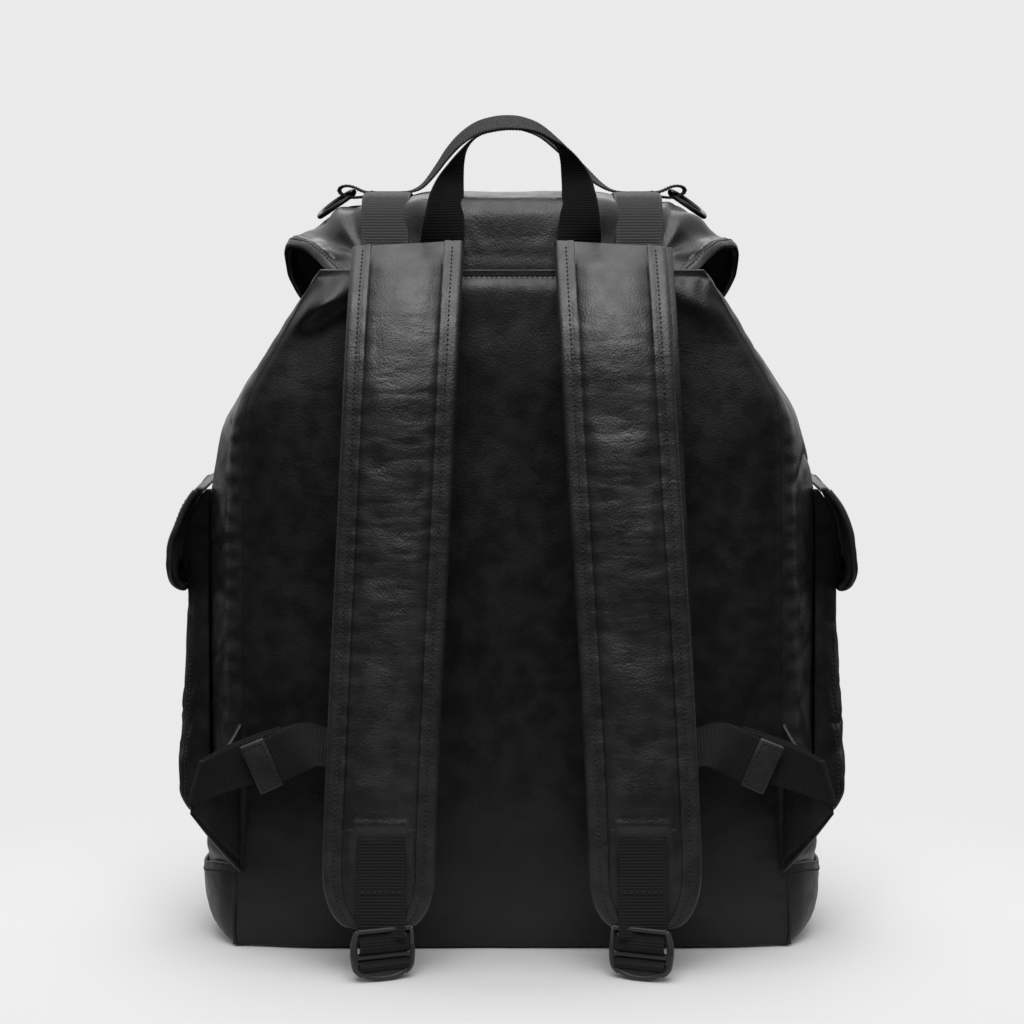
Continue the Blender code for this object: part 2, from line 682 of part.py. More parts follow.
# ---------------------------------------------- handle loop, cross strap, rings
HANDLE_X = 0.038
LOOP = mirrored([
    (-HANDLE_X, -0.0625, 0.4010), (-0.0365, -0.0560, 0.4120), (-0.0330, -0.0490, 0.4250),
    (-0.0270, -0.0440, 0.4370), (-0.0185, -0.0400, 0.4470), (-0.0080, -0.0370, 0.4520),
    (0.0, -0.0362, 0.4530)])
ARCH = mirrored([
    (-0.0890, -0.004, 0.4212), (-0.0800, -0.004, 0.4212), (-0.0520, -0.004, 0.4212),
    (-0.0430, -0.0055, 0.4235), (-0.0340, -0.0090, 0.4300), (-0.0245, -0.0150, 0.4410),
    (-0.0150, -0.0195, 0.4520), (-0.0070, -0.0215, 0.4580), (0.0, -0.0220, 0.4592)])
ARCH_W = 0.0245
RING_X, RING_Y = 0.0925, -0.004
RING_WIRE_R = 0.0014
RING_HALF_Y, RING_HALF_OUT = 0.0145, 0.0120


def handle_surface(u, v):
    point = along(LOOP, u)
    lift = 1 - abs(u * 2 - 1)
    turn = smooth(lift * 1.6)            # the tape turns from facing back to facing down
    sign = -1 if u > 0.5 else 1
    across = Vector((sign * (1 - turn), 0, 0)) + Vector((0, 0.80, 0.45)) * turn
    across.normalize()
    return point + across * (v - 0.5) * (0.022 - 0.004 * turn)


def arch_surface(u, v):
    point = along(ARCH, u)
    lift = smooth((point.z - 0.4215) / 0.030)
    across = Vector((0, 1, 0)).lerp(Vector((0, 0.90, 0.42)), lift).normalized()
    return point + across * (v - 0.5) * ARCH_W


def rounded(value):
    """Swell a sine or cosine so that the oval it draws gets fuller corners."""
    return math.copysign(abs(value) ** 0.75, value)


def build_ring(side, sign):
    """An oval wire that slopes outward and down from the end of the cross strap."""
    hinge = joint("ring_hinge_" + side, (sign * RING_X, RING_Y, 0.4195))
    oval = []
    for i in range(20):
        angle = math.tau * i / 20
        across = RING_HALF_Y * rounded(math.cos(angle))
        out = RING_HALF_OUT * (1 + rounded(math.sin(angle)))
        bow = 0.0028 * math.sin(math.pi * min(1, out / (2 * RING_HALF_OUT)))
        oval.append((sign * (RING_X + out * 0.78), RING_Y + across, 0.4200 - out * 0.50 + bow))
    wire("ring_" + side, oval, RING_WIRE_R, RING_METAL, cyclic=True, parent=hinge)


def build_lid():
    lid = joint("lid_hinge", LID_HINGE)
    sheet("lid_shell", 28, len(LID_RINGS), lid_surface, LEATHER_T, parent=lid, behind=False)
    for side, sign in SIDES:
        build_lid_webbing(side, sign, lid)
        build_closure(side, sign)
        build_ring(side, sign)
    sheet("carry_handle", 22, 2, handle_surface, WEB_T, WEBBING, lid, behind=False)
    sheet("cross_strap", 30, 2, arch_surface, WEB_T, WEBBING, lid)


# ----------------------------------------------------------- shoulder straps
STRAP_W = 0.060
STRAP_HINGE = (0.0565, -0.0715, 0.3845)
# Strap backing from hinge to lower end: (y, z)
STRAP_LINE = in_yz([
    (-0.0775, 0.3862), (-0.0850, 0.3790), (-0.0940, 0.3680), (-0.1020, 0.3540),
    (-0.1080, 0.3370), (-0.1125, 0.3150), (-0.1155, 0.2850), (-0.1185, 0.2400),
    (-0.1220, 0.1900), (-0.1260, 0.1400), (-0.1305, 0.0850), (-0.1340, 0.0450),
    (-0.1352, 0.0260)])
# Centre of the strap: (height, x)
STRAP_X = [(0.026, .0695), (0.085, .0692), (.165, .0665), (.265, .0620), (.330, .0590),
           (.386, .0565)]
# Fractions of the strap's length where its rows lie
STRAP_ROWS = [0.0, 0.04, 0.08, 0.13, 0.19, 0.27, 0.38, 0.50, 0.62, 0.74, 0.84, 0.90, 0.94,
              0.97, 1.0]
FOAM_ROWS = STRAP_ROWS[2:12]
FOAM_HALF = 0.0120


def off_strap(s, out):
    """Point at fraction s of the strap line in x = 0, moved out on the wearer's side."""
    before = along(STRAP_LINE, max(0, s - 0.02))
    after = along(STRAP_LINE, min(1, s + 0.02))
    down = (after - before).normalized()
    normal = Vector((0, down.z, -down.y))
    if normal.y > 0:
        normal.negate()
    return along(STRAP_LINE, s) + normal * out


def strap_point(sign, s, across, out):
    centre_x = sign * table(STRAP_X, along(STRAP_LINE, s).z)
    return Vector((centre_x + across, 0, 0)) + off_strap(s, out)


def strap_half(s):
    """Half width: parallel, with a rounded lower end."""
    end = smooth((s - 0.905) / 0.095)
    return STRAP_W / 2 * (1 - 0.50 * end ** 1.6)


def build_strap(side, sign, hinge):
    """Crowned cover, flat backing and the foam between them."""
    def cover(u, v):
        s = row_value(v, STRAP_ROWS)
        t = u * 2 - 1
        taper = smooth(s / 0.06) * (1 - 0.5 * smooth((s - 0.9) / 0.1))
        crown = 0.0052 * (1 - smooth((abs(t) - 0.45) / 0.40)) * taper
        return strap_point(sign, s, t * strap_half(s), 0.0023 + crown)

    def backing(u, v):
        s = row_value(v, STRAP_ROWS)
        return strap_point(sign, s, (u * 2 - 1) * strap_half(s), 0.0)

    def pad(u, v):
        return strap_point(sign, row_value(v, FOAM_ROWS), (u * 2 - 1) * FOAM_HALF, 0.0016)

    rows = len(STRAP_ROWS) - 1
    sheet("shoulder_strap_" + side, 8, rows, cover, 0.0014, parent=hinge)
    sheet("strap_backing_" + side, 2, rows, backing, 0.0012, parent=hinge)
    sheet("strap_foam_" + side, 2, len(FOAM_ROWS) - 1, pad, 0.0048, FOAM, hinge)


# -------------------------------------------------- strap tab and ladder lock
TAB_X = 0.0697
TAB_LIFT = 0.0098                        # tab above the strap backing
TAB_WRAP_R = 0.0030                      # tab round the buckle's top bar
TAB_END_Y = off_strap(1.0, TAB_LIFT).y
BAR_Y, BAR_Z = TAB_END_Y + TAB_WRAP_R, 0.0235
BUCKLE_HALF_X = 0.0175
BAR_HALF = 0.0016                        # half thickness of the top bar and the frame
SLOT_HALF_X = 0.0138
# Slots: (name, bottom, top) below the top bar's centre
SLOTS = [("tab_slot_", 0.0095, BAR_HALF), ("web_slot_", 0.0200, 0.0127)]
MIDDLE_BAR_Z = BAR_Z - 0.0111
# Webbing threaded round the middle bar: (y from the bar, z from the bar)
THREAD = in_yz([(BAR_Y + y, MIDDLE_BAR_Z + z) for y, z in (
    (0.0070, 0.0010), (0.0040, 0.0034), (0.0006, 0.0040), (-0.0030, 0.0030), (-0.0042, 0.0),
    (-0.0030, -0.0030), (0.0006, -0.0044), (0.0040, -0.0044), (0.0070, -0.0050))])


def tab_line():
    """Tab down the end of the strap, its own end wrapping the buckle's top bar."""
    points = [off_strap(s, TAB_LIFT) for s in (0.845, 0.88, 0.92, 0.96)]
    points.append(Vector((0, TAB_END_Y, BAR_Z + TAB_WRAP_R)))
    for i in range(9):
        angle = math.radians(-180 + 200 * i / 8)
        points.append(Vector((0, BAR_Y + TAB_WRAP_R * math.cos(angle),
                              BAR_Z + TAB_WRAP_R * math.sin(angle))))
    return points


def build_tab(side, sign, hinge):
    points = tab_line()
    last = len(points) - 1
    surface = tape(sign * TAB_X, lambda v: points[int(round(v * last))])
    sheet("strap_tab_" + side, 2, last, surface, THIN_WEB_T, WEBBING, hinge)


def build_ladder_lock(side, sign):
    """A frame with three bars, hanging from its top bar, and the webbing through it."""
    x = sign * TAB_X
    pivot = joint("ladder_lock_hinge_" + side, (x, BAR_Y, BAR_Z))
    frame = block((x - BUCKLE_HALF_X, BAR_Y - BAR_HALF, BAR_Z - 0.0226),
                  (x + BUCKLE_HALF_X, BAR_Y + BAR_HALF, BAR_Z + BAR_HALF), bevel=0.0005)
    buckle = add_mesh("ladder_lock_" + side, frame, BUCKLE_PLASTIC, pivot, smooth_shaded=False)
    for name, bottom, top in SLOTS:
        cut(buckle, name + side, block((x - SLOT_HALF_X, BAR_Y - 0.01, BAR_Z - bottom),
                                       (x + SLOT_HALF_X, BAR_Y + 0.01, BAR_Z - top)))
    thread = tape(x, lambda v: along(THREAD, v))
    sheet("threaded_webbing_" + side, 2, 14, thread, THIN_WEB_T, WEBBING, pivot)


# ------------------------------------------------ lower webbing, tail, anchor
# Right webbing from behind the buckle to the side anchor:
# (point on the centre line, direction across the width)
LOWER = [
    ((TAB_X, BAR_Y + 0.0170, 0.0200), (1, 0, 0)),
    ((0.0705, -0.1140, 0.0480), (1, 0, -0.1)),
    ((0.0760, -0.1080, 0.0780), (0.85, 0, -0.5)),
    ((0.0880, -0.1050, 0.1020), (0.50, 0, -0.85)),
    ((0.1050, -0.1030, 0.1160), (0.18, 0, -0.98)),
    ((0.1250, -0.1010, 0.1150), (-0.22, 0, -0.97)),
    ((0.1500, -0.0990, 0.1040), (-0.32, 0, -0.95)),
    ((0.1725, -0.0975, 0.0950), (-0.24, 0, -0.97))]
LOWER_POINTS = [point for point, _ in LOWER]
TIP_SIZE = Vector((0.0138, 0.0030, 0.0278))
# Right anchor's upper and lower corners, at the seam and at the webbing
ANCHOR_SEAM = [(0.1515, BACK_Y - 0.0024, 0.1215), (0.1505, BACK_Y - 0.0024, 0.0440)]
ANCHOR_WEB = [(0.1700, -0.0935, 0.1085), (0.1770, -0.0945, 0.0800)]


def build_lower_webbing(side, sign, hinge):
    def lower(u, v):
        i, fraction = locate(LOWER_POINTS, v)
        point = along(LOWER_POINTS, v)
        across = Vector(LOWER[i][1]).lerp(Vector(LOWER[i + 1][1]), fraction).normalized()
        point += across * (u - 0.5) * WEB_W * sign
        # mirroring across X as well as the width keeps u running the same way round
        if sign < 0:
            middle_x = -LOWER_CENTRE_X(i, fraction)
            point.x = middle_x + (-across.x) * (u - 0.5) * WEB_W * sign
        return point
    sheet("lower_webbing_" + side, 2, 16, lower, LOWER_WEB_T, WEBBING, hinge, behind=False)


def LOWER_CENTRE_X(i, fraction):
    """X of the right webbing's centre line within segment i."""
    return LOWER_POINTS[i][0] + (LOWER_POINTS[i + 1][0] - LOWER_POINTS[i][0]) * fraction


def build_tail(side, sign):
    """Loose end of the webbing with its leather tip."""
    slide = joint("tail_slide_" + side, (sign * 0.1270, -0.1045, 0.1130))
    tip_centre = Vector((sign * 0.1355, -0.1062, 0.1085))
    outward = Vector((sign * 0.915, 0.02, -0.403)).normalized()
    across = Vector((sign * 0.403, 0, 0.915)).normalized()

    def tail(u, v):
        point = tip_centre - outward * (0.0072 + 0.0400 * v)
        bend = Vector((0, -0.0016 * v, 0)) - across * 0.010 * v * v
        return point + bend + across * (u - 0.5) * WEB_W * sign
    sheet("webbing_tail_" + side, 2, 5, tail, THIN_WEB_T, WEBBING, slide)

    tip = block(-TIP_SIZE / 2, TIP_SIZE / 2, bevel=0.0005)
    # the sign keeps the frame right-handed on both sides
    frame = Matrix((outward * sign, Vector((0, 1, 0)), across)).transposed().to_4x4()
    bmesh.ops.transform(tip, matrix=Matrix.Translation(tip_centre) @ frame, verts=tip.verts[:])
    add_mesh("tail_tip_" + side, tip, LEATHER, slide, smooth_shaded=False)


def build_anchor(side, sign):
    """Leather anchor in the side seam, reaching out to the fold of the webbing."""
    def anchor(u, v):
        seam = Vector(ANCHOR_SEAM[0]).lerp(Vector(ANCHOR_SEAM[1]), v)
        web = Vector(ANCHOR_WEB[0]).lerp(Vector(ANCHOR_WEB[1]), v)
        point = seam.lerp(web, u)
        return (sign * point.x, point.y, point.z)
    sheet("strap_anchor_" + side, 3, 4, anchor, LEATHER_T, behind=sign < 0)


def build_shoulder(side, sign):
    hinge = joint("strap_hinge_" + side, (sign * STRAP_HINGE[0], *STRAP_HINGE[1:]))
    build_strap(side, sign, hinge)
    build_tab(side, sign, hinge)
    build_ladder_lock(side, sign)
    build_lower_webbing(side, sign, hinge)
    build_tail(side, sign)
    build_anchor(side, sign)


# ---------------------------------------------------------------------- build
for old in list(bpy.data.objects):
    bpy.data.objects.remove(old, do_unlink=True)

parts = bpy.data.collections.new("leather_backpack")
cutters = bpy.data.collections.new("cutters")
bpy.context.scene.collection.children.link(parts)
bpy.context.scene.collection.children.link(cutters)

build_back()
build_front_panel()
build_base()
build_collar()
build_drawcord()
build_cord_lock()
build_front_pocket()
build_front_flap()
build_lid()
for side_name, side_sign in SIDES:
    build_gusset(side_name, side_sign)
    build_eyelet(side_name, side_sign)
    build_side_pocket(side_name, side_sign)
    build_side_flap(side_name, side_sign)
    build_shoulder(side_name, side_sign)
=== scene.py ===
"""Leather backpack: the looks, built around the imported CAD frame. Metres, +Z up, -Y is the wearer's side."""
import bpy
import bmesh
import math
import numpy as np
from mathutils import Matrix, Vector


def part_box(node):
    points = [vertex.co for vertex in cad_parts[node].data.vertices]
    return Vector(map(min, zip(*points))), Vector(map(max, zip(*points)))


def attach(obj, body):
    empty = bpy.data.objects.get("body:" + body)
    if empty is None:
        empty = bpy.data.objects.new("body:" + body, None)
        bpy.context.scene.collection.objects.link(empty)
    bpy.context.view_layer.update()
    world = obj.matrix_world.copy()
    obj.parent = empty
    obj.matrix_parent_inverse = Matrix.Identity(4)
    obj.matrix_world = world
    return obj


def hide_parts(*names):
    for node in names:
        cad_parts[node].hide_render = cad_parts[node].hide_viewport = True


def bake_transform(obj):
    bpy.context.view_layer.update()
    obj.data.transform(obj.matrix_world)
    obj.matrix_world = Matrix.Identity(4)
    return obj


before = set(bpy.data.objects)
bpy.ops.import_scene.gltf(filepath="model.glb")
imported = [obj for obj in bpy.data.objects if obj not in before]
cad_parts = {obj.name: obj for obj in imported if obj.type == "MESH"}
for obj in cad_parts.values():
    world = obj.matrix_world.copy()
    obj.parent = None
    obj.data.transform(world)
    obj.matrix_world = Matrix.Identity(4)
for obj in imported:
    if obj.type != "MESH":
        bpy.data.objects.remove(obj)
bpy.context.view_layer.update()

# ------------------------------------------------------------------ numbers
BACK_Y = -0.075
WEB_W = 0.026
PANEL_TOP = 0.375
BODY_TOP = 0.345
BOOT_TOP = 0.047
WEB_X = 0.0695
BUCKLE_Z = 0.0235
SIDES = (("left", -1.0), ("right", 1.0))
A = np.array


def pchip(rows):
    """Smooth, non-overshooting function through (z, value) rows."""
    r = A(rows, float)
    x, y = r[:, 0], r[:, 1:]
    h = np.diff(x)[:, None]
    d = np.diff(y, axis=0) / h
    m = np.zeros_like(y)
    w1 = 2 * h[1:] + h[:-1]
    w2 = h[1:] + 2 * h[:-1]
    ok = d[:-1] * d[1:] > 0
    with np.errstate(divide="ignore", invalid="ignore"):
        m[1:-1] = np.where(ok, (w1 + w2) / (w1 / d[:-1] + w2 / d[1:]), 0)
    m[0], m[-1] = d[0], d[-1]

    def f(q):
        q = np.clip(np.asarray(q, float), x[0], x[-1])
        i = np.clip(np.searchsorted(x, q, side="right") - 1, 0, len(x) - 2)
        t = ((q - x[i]) / h[i, 0])[..., None]
        a, b = y[i], y[i + 1]
        v = (a * (1 + 2 * t) * (1 - t) ** 2 + h[i] * m[i] * t * (1 - t) ** 2
             + b * t * t * (3 - 2 * t) + h[i] * m[i + 1] * t * t * (t - 1))
        return v[..., 0] if v.shape[-1] == 1 else v
    return f


SEAM = pchip([(-.01, .157), (0, .1555), (.045, .152), (.130, .149), (.250, .148), (.290, .1475), (.305, .145), (.317, .139),
              (.340, .1255), (.364, .112), (.380, .1015)])
SIDE = pchip([(-.01, .160), (0, .164), (.012, .1705), (.030, .1735), (.047, .174), (.075, .172), (.130, .1718), (.195, .1715),
              (.240, .1705), (.257, .1685), (.275, .1655), (.292, .1603), (.311, .1500), (.330, .1380), (.345, .1262), (.364, .1135), (.380, .1025)])
FRONTH = pchip([(-.01, .150), (.047, .152), (.130, .150), (.255, .146), (.300, .136), (.345, .114), (.380, .094)])
FRONTY = pchip([(-.01, .050), (.047, .054), (.150, .056), (.250, .054), (.300, .049), (.345, .040), (.380, .032)])


def sstep(t):
    t = np.clip(t, 0, 1)
    return t * t * (3 - 2 * t)


# -------------------------------------------------------------------- noise
def _h(i, j, k):
    with np.errstate(over="ignore"):
        n = (i.astype(np.uint32) * np.uint32(374761393) + j.astype(np.uint32) * np.uint32(668265263)
             + k.astype(np.uint32) * np.uint32(2246822519))
        n = (n ^ (n >> np.uint32(13))) * np.uint32(1274126177)
        n = n ^ (n >> np.uint32(16))
    return n.astype(np.float64) / 4294967295.0 * 2 - 1


def noise(p, scale):
    """Smooth value noise, -1..1, of points (..., 3)."""
    q = np.asarray(p, float) * np.asarray(scale, float) + 1000.5
    i = np.floor(q).astype(np.int64)
    f = q - i
    f = f * f * f * (f * (f * 6 - 15) + 10)
    out = 0
    for dx in (0, 1):
        for dy in (0, 1):
            for dz in (0, 1):
                w = ((f[..., 0] if dx else 1 - f[..., 0]) * (f[..., 1] if dy else 1 - f[..., 1])
                     * (f[..., 2] if dz else 1 - f[..., 2]))
                out = out + w * _h(i[..., 0] + dx, i[..., 1] + dy, i[..., 2] + dz)
    return out


def fbm(p, scale, octaves=3, gain=0.5):
    total, amp, s = 0, 1.0, A(scale, float)
    for k in range(octaves):
        total = total + amp * noise(np.asarray(p) + 7.31 * k, s)
        amp *= gain
        s = s * 2.03
    return total


def creases(p, scale, sharp=3.0, octaves=2):
    """0..1, peaked along thin winding lines."""
    return np.clip(1 - np.abs(fbm(p, scale, octaves)) * sharp, 0, 1) ** 2


# ------------------------------------------------------------------- curves
def catmull(P, m=14):
    P = np.asarray(P, float)
    Q = np.vstack([2 * P[0] - P[1], P, 2 * P[-1] - P[-2]])
    t = np.linspace(0, 1, m, endpoint=False)[:, None]
    out = []
    for i in range(len(P) - 1):
        a, b, c, d = Q[i:i + 4]
        out.append(.5 * (2 * b + (c - a) * t + (2 * a - 5 * b + 4 * c - d) * t ** 2 + (3 * b - a - 3 * c + d) * t ** 3))
    return np.vstack(out + [P[-1:]])


def arclen(C):
    L = np.concatenate([[0], np.cumsum(np.linalg.norm(np.diff(C[:, :3], axis=0), axis=1))])
    return L


def at(P, s, m=14):
    """Points at fractions s of the length of a smooth curve through P; further columns are carried along."""
    C = catmull(P, m)
    L = arclen(C)
    L = L / L[-1]
    return np.stack([np.interp(s, L, C[:, k]) for k in range(C.shape[1])], -1)


def length(P):
    return arclen(catmull(P))[-1]


def unit(v):
    return v / np.maximum(np.linalg.norm(v, axis=-1, keepdims=True), 1e-12)


def settle(P, N, pin, cap, grow=.015, pressure=1.0, frames=12, step=2, bend=.5, soft=2):
    """Leather relaxing between its seams: a cloth run of a coarser grid at ten times size, read back as a small move along N."""
    nu, nv = P.shape[:2]
    iu = np.unique(np.append(np.arange(0, nu, step), nu - 1))
    iv = np.unique(np.append(np.arange(0, nv, step), nv - 1))
    pick = np.ix_(iu, iv)
    C, NC = P[pick] * 10.0, np.broadcast_to(N, P.shape)[pick]
    i, j = np.arange(len(iu) - 1)[:, None], np.arange(len(iv) - 1)[None]
    a = (i * len(iv) + j).ravel()
    F = np.stack([a, a + len(iv), a + len(iv) + 1, a + 1], -1)
    flat = C.reshape(-1, 3)
    nf = np.cross(flat[F[:, 2]] - flat[F[:, 0]], flat[F[:, 3]] - flat[F[:, 1]])
    if (nf * NC.reshape(-1, 3)[F[:, 0]]).sum() < 0:
        F = F[:, ::-1]
    me = bpy.data.meshes.new("settling")
    me.from_pydata(flat.tolist(), [], F.tolist())
    o = bpy.data.objects.new("settling", me)
    sc = bpy.context.scene
    sc.collection.objects.link(o)
    g = o.vertex_groups.new(name="pin")
    w = np.clip(np.broadcast_to(pin, (nu, nv))[pick].ravel(), 0, 1)
    for k in np.nonzero(w > .02)[0]:
        g.add([int(k)], float(w[k]), "REPLACE")
    m = o.modifiers.new("Cloth", "CLOTH")
    c = m.settings
    c.quality, c.mass, c.air_damping = 5, .3, 3
    c.tension_stiffness = c.compression_stiffness = 14
    c.shear_stiffness, c.bending_stiffness = 5, bend
    c.vertex_group_mass = "pin"
    c.shrink_min = -grow
    c.use_pressure, c.uniform_pressure_force = True, pressure
    m.collision_settings.use_collision = False
    m.point_cache.frame_start, m.point_cache.frame_end = 1, frames
    for f in range(1, frames + 1):
        sc.frame_set(f)
    ev = o.evaluated_get(bpy.context.evaluated_depsgraph_get())
    Q = np.empty(len(flat) * 3)
    ev.data.vertices.foreach_get("co", Q)
    d = np.nan_to_num(((Q.reshape(C.shape) - C) * NC).sum(-1) / 10.0)
    bpy.data.objects.remove(o)
    bpy.data.meshes.remove(me)
    sc.frame_set(1)
    for _ in range(soft):
        d[1:-1] = d[1:-1] * .5 + (d[2:] + d[:-2]) * .25
        d[:, 1:-1] = d[:, 1:-1] * .5 + (d[:, 2:] + d[:, :-2]) * .25
    d = cap * np.tanh(d / cap)
    U = np.stack([np.interp(np.arange(nu), iu, d[:, k]) for k in range(len(iv))], 1)
    return np.stack([np.interp(np.arange(nv), iv, U[k]) for k in range(nu)], 0)


# ------------------------------------------------------------------ builder
class Build:
    """Collects vertices and faces of one piece, with a material per face."""

    def __init__(self, name):
        self.name, self.v, self.f, self.m, self.mats, self.n = name, [], [], [], [], 0

    def add(self, verts, faces, mat):
        if mat not in self.mats:
            self.mats.append(mat)
        k = self.mats.index(mat)
        verts = np.asarray(verts, float).reshape(-1, 3)
        self.v.append(verts)
        for f in (faces if isinstance(faces, list) else [faces]):
            f = np.asarray(f, int)
            if len(f):
                self.f += (f + self.n).tolist()
                self.m += [k] * len(f)
        self.n += len(verts)

    def make(self, body=None, slot=None, replaces=(), blend=None, smooth=55.0, recalc=True):
        me = bpy.data.meshes.new(self.name)
        V = np.vstack(self.v)
        V[:, 2] = np.maximum(V[:, 2], .00003)
        me.from_pydata(V.tolist(), [], self.f)
        for m in self.mats:
            me.materials.append(m)
        me.polygons.foreach_set("material_index", A(self.m, np.int32))
        if recalc:
            bm = bmesh.new()
            bm.from_mesh(me)
            bmesh.ops.recalc_face_normals(bm, faces=bm.faces[:])
            bm.to_mesh(me)
            bm.free()
        me.shade_smooth()
        me.set_sharp_from_angle(angle=math.radians(smooth))
        me.update()
        o = bpy.data.objects.new(self.name, me)
        bpy.context.scene.collection.objects.link(o)
        if replaces:
            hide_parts(*replaces)
        if blend:
            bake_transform(o)
        else:
            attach(o, body)
        return o


def quads(nu, nv, off=0, cyc=False):
    i = np.arange(nu if cyc else nu - 1)[:, None]
    j = np.arange(nv - 1)[None, :]
    i2 = (i + 1) % nu
    a = (i * nv + j).ravel()
    b = (i2 * nv + j).ravel()
    return np.stack([a, b, b + 1, a + 1], -1) + off


def grid_normals(P):
    du = np.gradient(P, axis=0)
    dv = np.gradient(P, axis=1)
    return unit(np.cross(du, dv))


def thick(b, P, hi, lo, out, mat, mat_in=None, k=4, rim=True, N=None):
    """A closed sheet: P (nu, nv, 3) moved by hi and lo along its normal, with rounded rims. out: a direction or (nu, nv, 3) field the outer face looks to."""
    nu, nv = P.shape[:2]
    if N is None:
        N = grid_normals(P)
        if (N * np.asarray(out)).sum() < 0:
            N = -N
    hi = np.broadcast_to(hi, (nu, nv)).astype(float)
    lo = np.broadcast_to(lo, (nu, nv)).astype(float)
    ring = ([(i, 0) for i in range(nu)] + [(nu - 1, j) for j in range(1, nv)]
            + [(i, nv - 1) for i in range(nu - 2, -1, -1)] + [(0, j) for j in range(nv - 2, 0, -1)])
    I, J = A(ring).T
    I2, J2 = np.clip(I, 1, nu - 2), np.clip(J, 1, nv - 2)
    D = P[I, J] - P[I2, J2]
    D = D - (D * N[I, J]).sum(-1, keepdims=True) * N[I, J]
    d = np.linalg.norm(D, axis=-1)
    T = unit(D)
    half = (hi - lo)[I, J] / 2
    mid = ((hi + lo) / 2)[I, J]
    r = np.minimum(half, d * 0.6) if rim else half * 0.05
    Q = P.copy()
    Q[I, J] -= T * r[:, None]
    top = Q + N * hi[..., None]
    bot = Q + N * lo[..., None]
    n = nu * nv
    ringi = I * nv + J
    verts = [top.reshape(-1, 3), bot.reshape(-1, 3)]
    loops = [ringi]
    for q in range(1, k):
        phi = math.pi / 2 - math.pi * q / k
        pos = Q[I, J] + T * (r * math.cos(phi))[:, None] + N[I, J] * (mid + half * math.sin(phi))[:, None]
        loops.append(2 * n + (q - 1) * len(ring) + np.arange(len(ring)))
        verts.append(pos)
    loops.append(ringi + n)
    verts = np.vstack(verts)
    g = quads(nu, nv)
    rimf = []
    for a, c in zip(loops, loops[1:]):
        rimf.append(np.stack([a, c, np.roll(c, -1), np.roll(a, -1)], -1))
    rimf = np.vstack(rimf)
    if mat_in is None or mat_in is mat:
        b.add(verts, [g, g[:, ::-1] + n, rimf], mat)
    else:
        if mat_in not in b.mats:
            if mat not in b.mats:
                b.mats.append(mat)
            b.mats.append(mat_in)
        start = b.n
        b.add(verts, [g, rimf], mat)
        f = (g[:, ::-1] + n + start).tolist()
        b.f += f
        b.m += [b.mats.index(mat_in)] * len(f)
    return top


ACROSS = A([0, .035, .075, .13, .22, .34, .5, .66, .78, .87, .925, .965, 1.0])


def ribbon(b, rows, width, t, mat, out=None, pitch=.0017, amp=.00022, lo=None, closed_taper=False):
    """Woven tape: rows of (x, y, z, ax, ay, az) along its middle, across directions unit-ish; ribs run across it."""
    rows = A(rows, float)
    L = length(rows)
    n = max(8, int(L / (pitch / 4)))
    S = np.linspace(0, 1, n)
    R = at(rows, S)
    C, W = R[:, :3], unit(R[:, 3:6])
    w = width if np.ndim(width) == 0 else at(np.column_stack([rows[:, :3], width]), S)[:, 3]
    w = np.broadcast_to(w, (n,))
    tan = unit(np.gradient(C, axis=0))
    N = unit(np.cross(W, tan))
    if out is not None and (N * out).sum() < 0:
        N = -N
    u = ACROSS - .5
    P = C[None] + W[None] * (u[:, None] * w[None])[..., None]
    NN = np.broadcast_to(N[None], P.shape)
    mask = sstep((.5 - np.abs(u)) / .07)[:, None]
    rib = np.cos(S * L / pitch * 2 * math.pi)[None] * amp * mask
    edge = (1 - sstep((.5 - np.abs(u)) / .05))[:, None] * (-t * .12)
    thick(b, P, t / 2 + rib + edge, -t / 2 + rib * .6 - edge, None, mat, N=NN, k=3)
    return C, W, N


def tube(b, pts, r, mat, n=10, cyclic=False, squash=None):
    pts = np.asarray(pts, float)
    T = unit((np.roll(pts, -1, 0) - np.roll(pts, 1, 0)) if cyclic else np.gradient(pts, axis=0))
    ref = A([0, 0, 1.0]) if abs(T[0][2]) < .9 else A([1.0, 0, 0])
    U = np.zeros_like(T)
    U[0] = unit(np.cross(T[0], ref))
    for i in range(1, len(T)):
        x = U[i - 1] - T[i] * (U[i - 1] @ T[i])
        U[i] = unit(x)
    V = np.cross(T, U)
    if cyclic:                                # spread the closing twist
        x = U[-1] - T[0] * (U[-1] @ T[0])
        ang = math.atan2(x @ V[0], x @ U[0])
        a = -ang * np.arange(len(T)) / len(T)
        U, V = U * np.cos(a)[:, None] + V * np.sin(a)[:, None], V * np.cos(a)[:, None] - U * np.sin(a)[:, None]
    a = np.arange(n) / n * 2 * math.pi
    r = np.broadcast_to(r, (len(pts),))
    ring = pts[:, None] + r[:, None, None] * (np.cos(a)[None, :, None] * U[:, None] + np.sin(a)[None, :, None] * V[:, None])
    m = len(pts)
    i = np.arange(m if cyclic else m - 1)[:, None]
    j = np.arange(n)[None]
    i2, j2 = (i + 1) % m, (j + 1) % n
    f = np.stack([(i * n + j).ravel(), (i2 * n + j).ravel(), (i2 * n + j2).ravel(), (i * n + j2).ravel()], -1)
    verts = ring.reshape(-1, 3)
    if cyclic:
        b.add(verts, f, mat)
        return
    verts = np.vstack([verts, pts[0] - T[0] * r[0] * .35, pts[-1] + T[-1] * r[-1] * .35])
    jj = np.arange(n)
    cap0 = np.stack([np.full(n, m * n), jj, (jj + 1) % n], -1)
    cap1 = np.stack([np.full(n, m * n + 1), (m - 1) * n + (jj + 1) % n, (m - 1) * n + jj], -1)
    b.add(verts, [f, cap0, cap1], mat)


